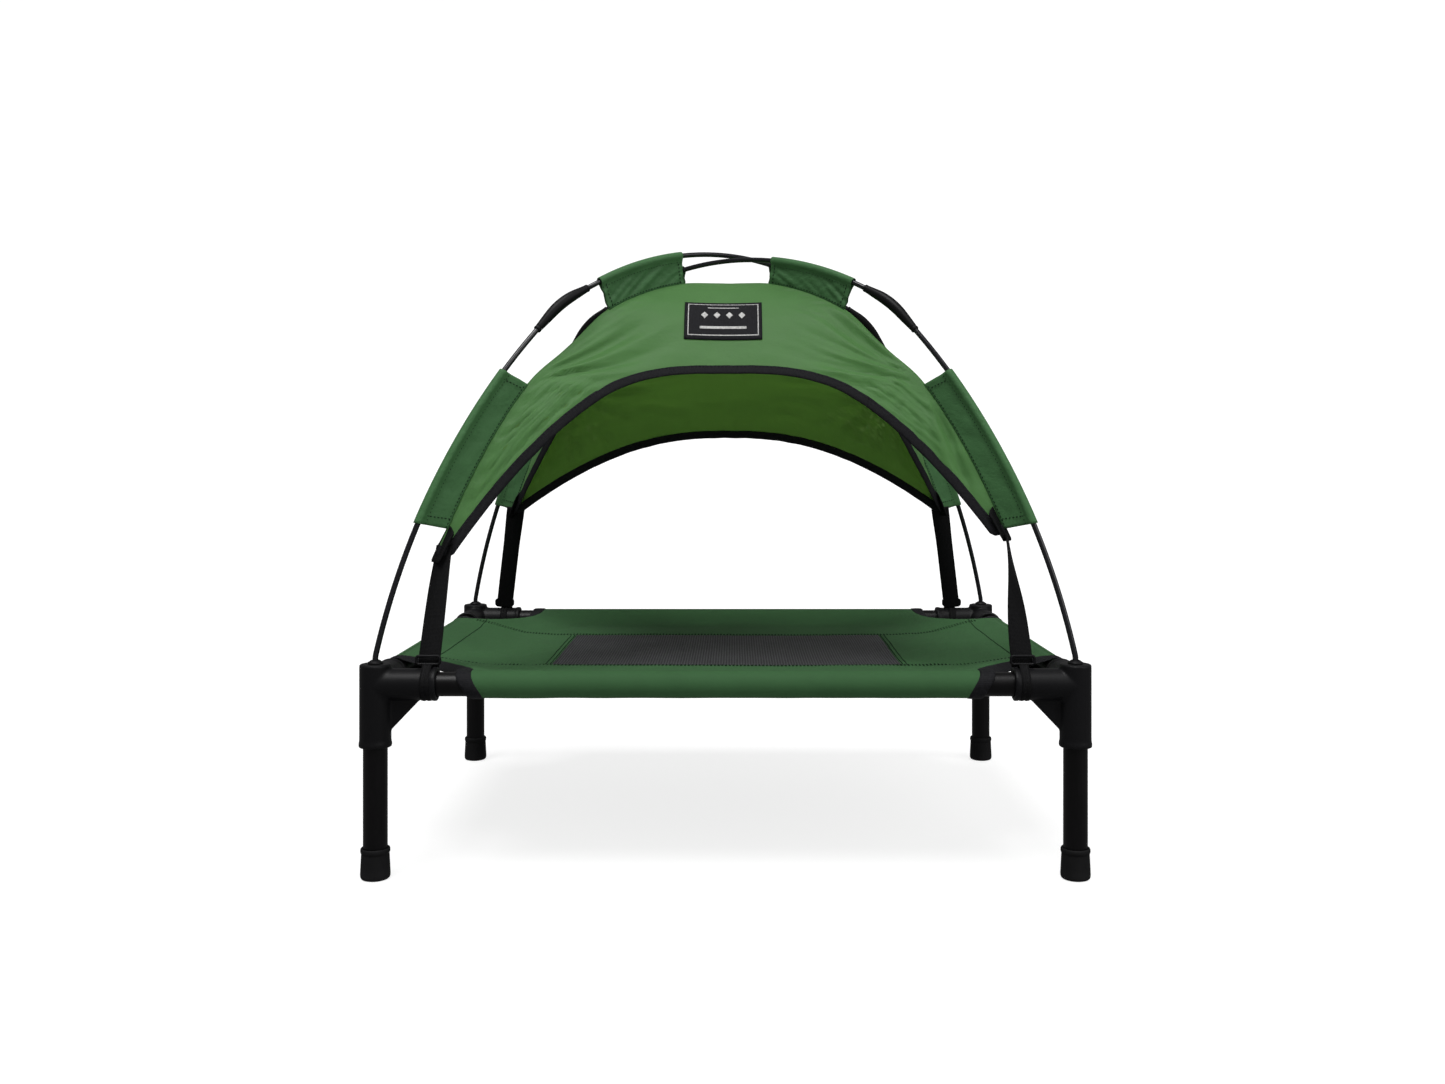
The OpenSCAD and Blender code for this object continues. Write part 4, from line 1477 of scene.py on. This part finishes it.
def make_grommets():
    profile = [(0.0062, 0.0), (0.0064, 0.0006), (0.0062, 0.0013), (0.0052, 0.0019), (0.0042, 0.0026),
               (0.0036, 0.003), (0.0031, 0.0029), (0.0029, 0.0022), (0.0029, -0.004)]
    shape = Shape(*[lathe(profile, leg_place(corner, CORNER_TOP)) for corner in CORNERS])
    piece("pole_sockets", shape, "cot", MAT_PLASTIC, ["pole_grommets"], True)


def make_leg(corner):
    inside = TUBE_R - 0.0012
    bottom = 0.004
    edge = 0.0004
    profile = [
        (inside, bottom), (TUBE_R - edge, bottom), (TUBE_R, bottom + edge), (TUBE_R, LEG_TOP - edge),
        (TUBE_R - edge, LEG_TOP), (inside, LEG_TOP), (inside, bottom),
    ]
    name = "leg_" + corner
    shape = Shape(lathe(profile, leg_place(corner), 64))
    leg = piece("tube_" + name, shape, corner + "_leg", MAT_PAINT, [name])
    merge_close(leg.data)
    sharpen(leg)


def make_foot(corner):
    """A rubber cup with a rounded foot, a slight taper and a rolled rim."""
    top = FOOT_H
    profile = [
        (0.0, 0.0), (0.0070, 0.0), (0.0096, 0.0001), (0.0110, 0.0006), (0.0118, 0.0014), (0.0122, 0.0026),
        (0.0123, 0.0045), (0.0121, 0.009), (0.0118, 0.015), (0.0115, top - 0.0052), (0.0114, top - 0.0044),
        (0.0119, top - 0.0040), (0.0121, top - 0.0030), (0.0121, top - 0.0014), (0.0118, top - 0.0005),
        (0.0112, top), (0.0106, top - 0.0002), (0.01015, top - 0.001), (0.01005, 0.0045), (0.0, 0.004),
    ]
    name = "foot_" + corner
    shape = Shape(lathe(profile, leg_place(corner), 64))
    foot = piece("rubber_" + name, shape, corner + "_leg", MAT_RUBBER, [name])
    merge_close(foot.data)


for place in CORNERS:
    make_corner(place)
    make_leg(place)
    make_foot(place)
make_grommets()

RAILS = ["rail_front", "rail_rear", "rail_left", "rail_right"]
for node in RAILS:
    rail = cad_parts[node]
    rail.data.materials.clear()
    rail.data.materials.append(MAT_PAINT)

# ------------------------------------------------------------------ stage and lights

# The floor looks white, but lights the object less than it seems to.
FLOOR_GLOW = 0.80
FLOOR_BOUNCE = 0.15
WORLD_LIGHT = 0.2
# The floor's half width, its front and back, and the round rise to its back wall.
FLOOR_HALF_W = 6.0
FLOOR_FRONT = -4.0
FLOOR_BACK = 1.6
COVE_R = 1.2
WALL_TOP = 5.0


def make_stage():
    n = Nodes("stage_floor", (0.30, 0.30, 0.30), 0.9)
    n.shader.inputs["Emission Color"].default_value = (1, 1, 1, 1)
    seen = n.add("LightPath").outputs["Is Camera Ray"]
    n.link(n.range(seen, FLOOR_BOUNCE, FLOOR_GLOW), "Emission Strength")
    profile = [(FLOOR_FRONT, 0.0), (FLOOR_BACK, 0.0)]
    for k in range(1, 13):
        a = math.pi / 2 * k / 12
        profile.append((FLOOR_BACK + COVE_R * math.sin(a), COVE_R * (1 - math.cos(a))))
    profile.append((FLOOR_BACK + COVE_R, WALL_TOP))
    points = [(x, y, z) for y, z in profile for x in (-FLOOR_HALF_W, FLOOR_HALF_W)]
    shape = Shape((points, grid_faces(len(profile), 2)))
    stage = bpy.data.objects.new("stage", mesh_from("stage", shape))
    bpy.context.scene.collection.objects.link(stage)
    stage.data.materials.append(n.material)
    stage.visible_glossy = False


def sun_light(name, turn, height, strength, spread):
    """A soft sun from a compass turn (0 is the front, 90 the right) and height in degrees."""
    data = bpy.data.lights.new(name, "SUN")
    data.energy = strength
    data.angle = math.radians(spread)
    light = bpy.data.objects.new(name, data)
    a, b = math.radians(turn), math.radians(height)
    towards = Vector((math.sin(a) * math.cos(b), -math.cos(a) * math.cos(b), math.sin(b)))
    light.rotation_euler = towards.to_track_quat("Z", "Y").to_euler()
    bpy.context.scene.collection.objects.link(light)


def make_lights():
    sun_light("key", turn=-24, height=70, strength=2.45, spread=30)
    sun_light("fill", turn=50, height=36, strength=1.1, spread=50)
    world = bpy.data.worlds.new("world")
    world.use_nodes = True
    tree = world.node_tree
    # Plain white behind the object, but only a weak light on it.
    dim = tree.nodes["Background"]
    dim.inputs["Color"].default_value = (1, 1, 1, 1)
    dim.inputs["Strength"].default_value = WORLD_LIGHT
    white = tree.nodes.new("ShaderNodeBackground")
    white.inputs["Color"].default_value = (1, 1, 1, 1)
    seen = tree.nodes.new("ShaderNodeLightPath")
    mixed = tree.nodes.new("ShaderNodeMixShader")
    tree.links.new(seen.outputs["Is Camera Ray"], mixed.inputs[0])
    tree.links.new(dim.outputs[0], mixed.inputs[1])
    tree.links.new(white.outputs[0], mixed.inputs[2])
    tree.links.new(mixed.outputs[0], tree.nodes["World Output"].inputs["Surface"])
    bpy.context.scene.world = world
    bpy.context.scene.view_settings.view_transform = "Standard"


make_stage()
make_lights()
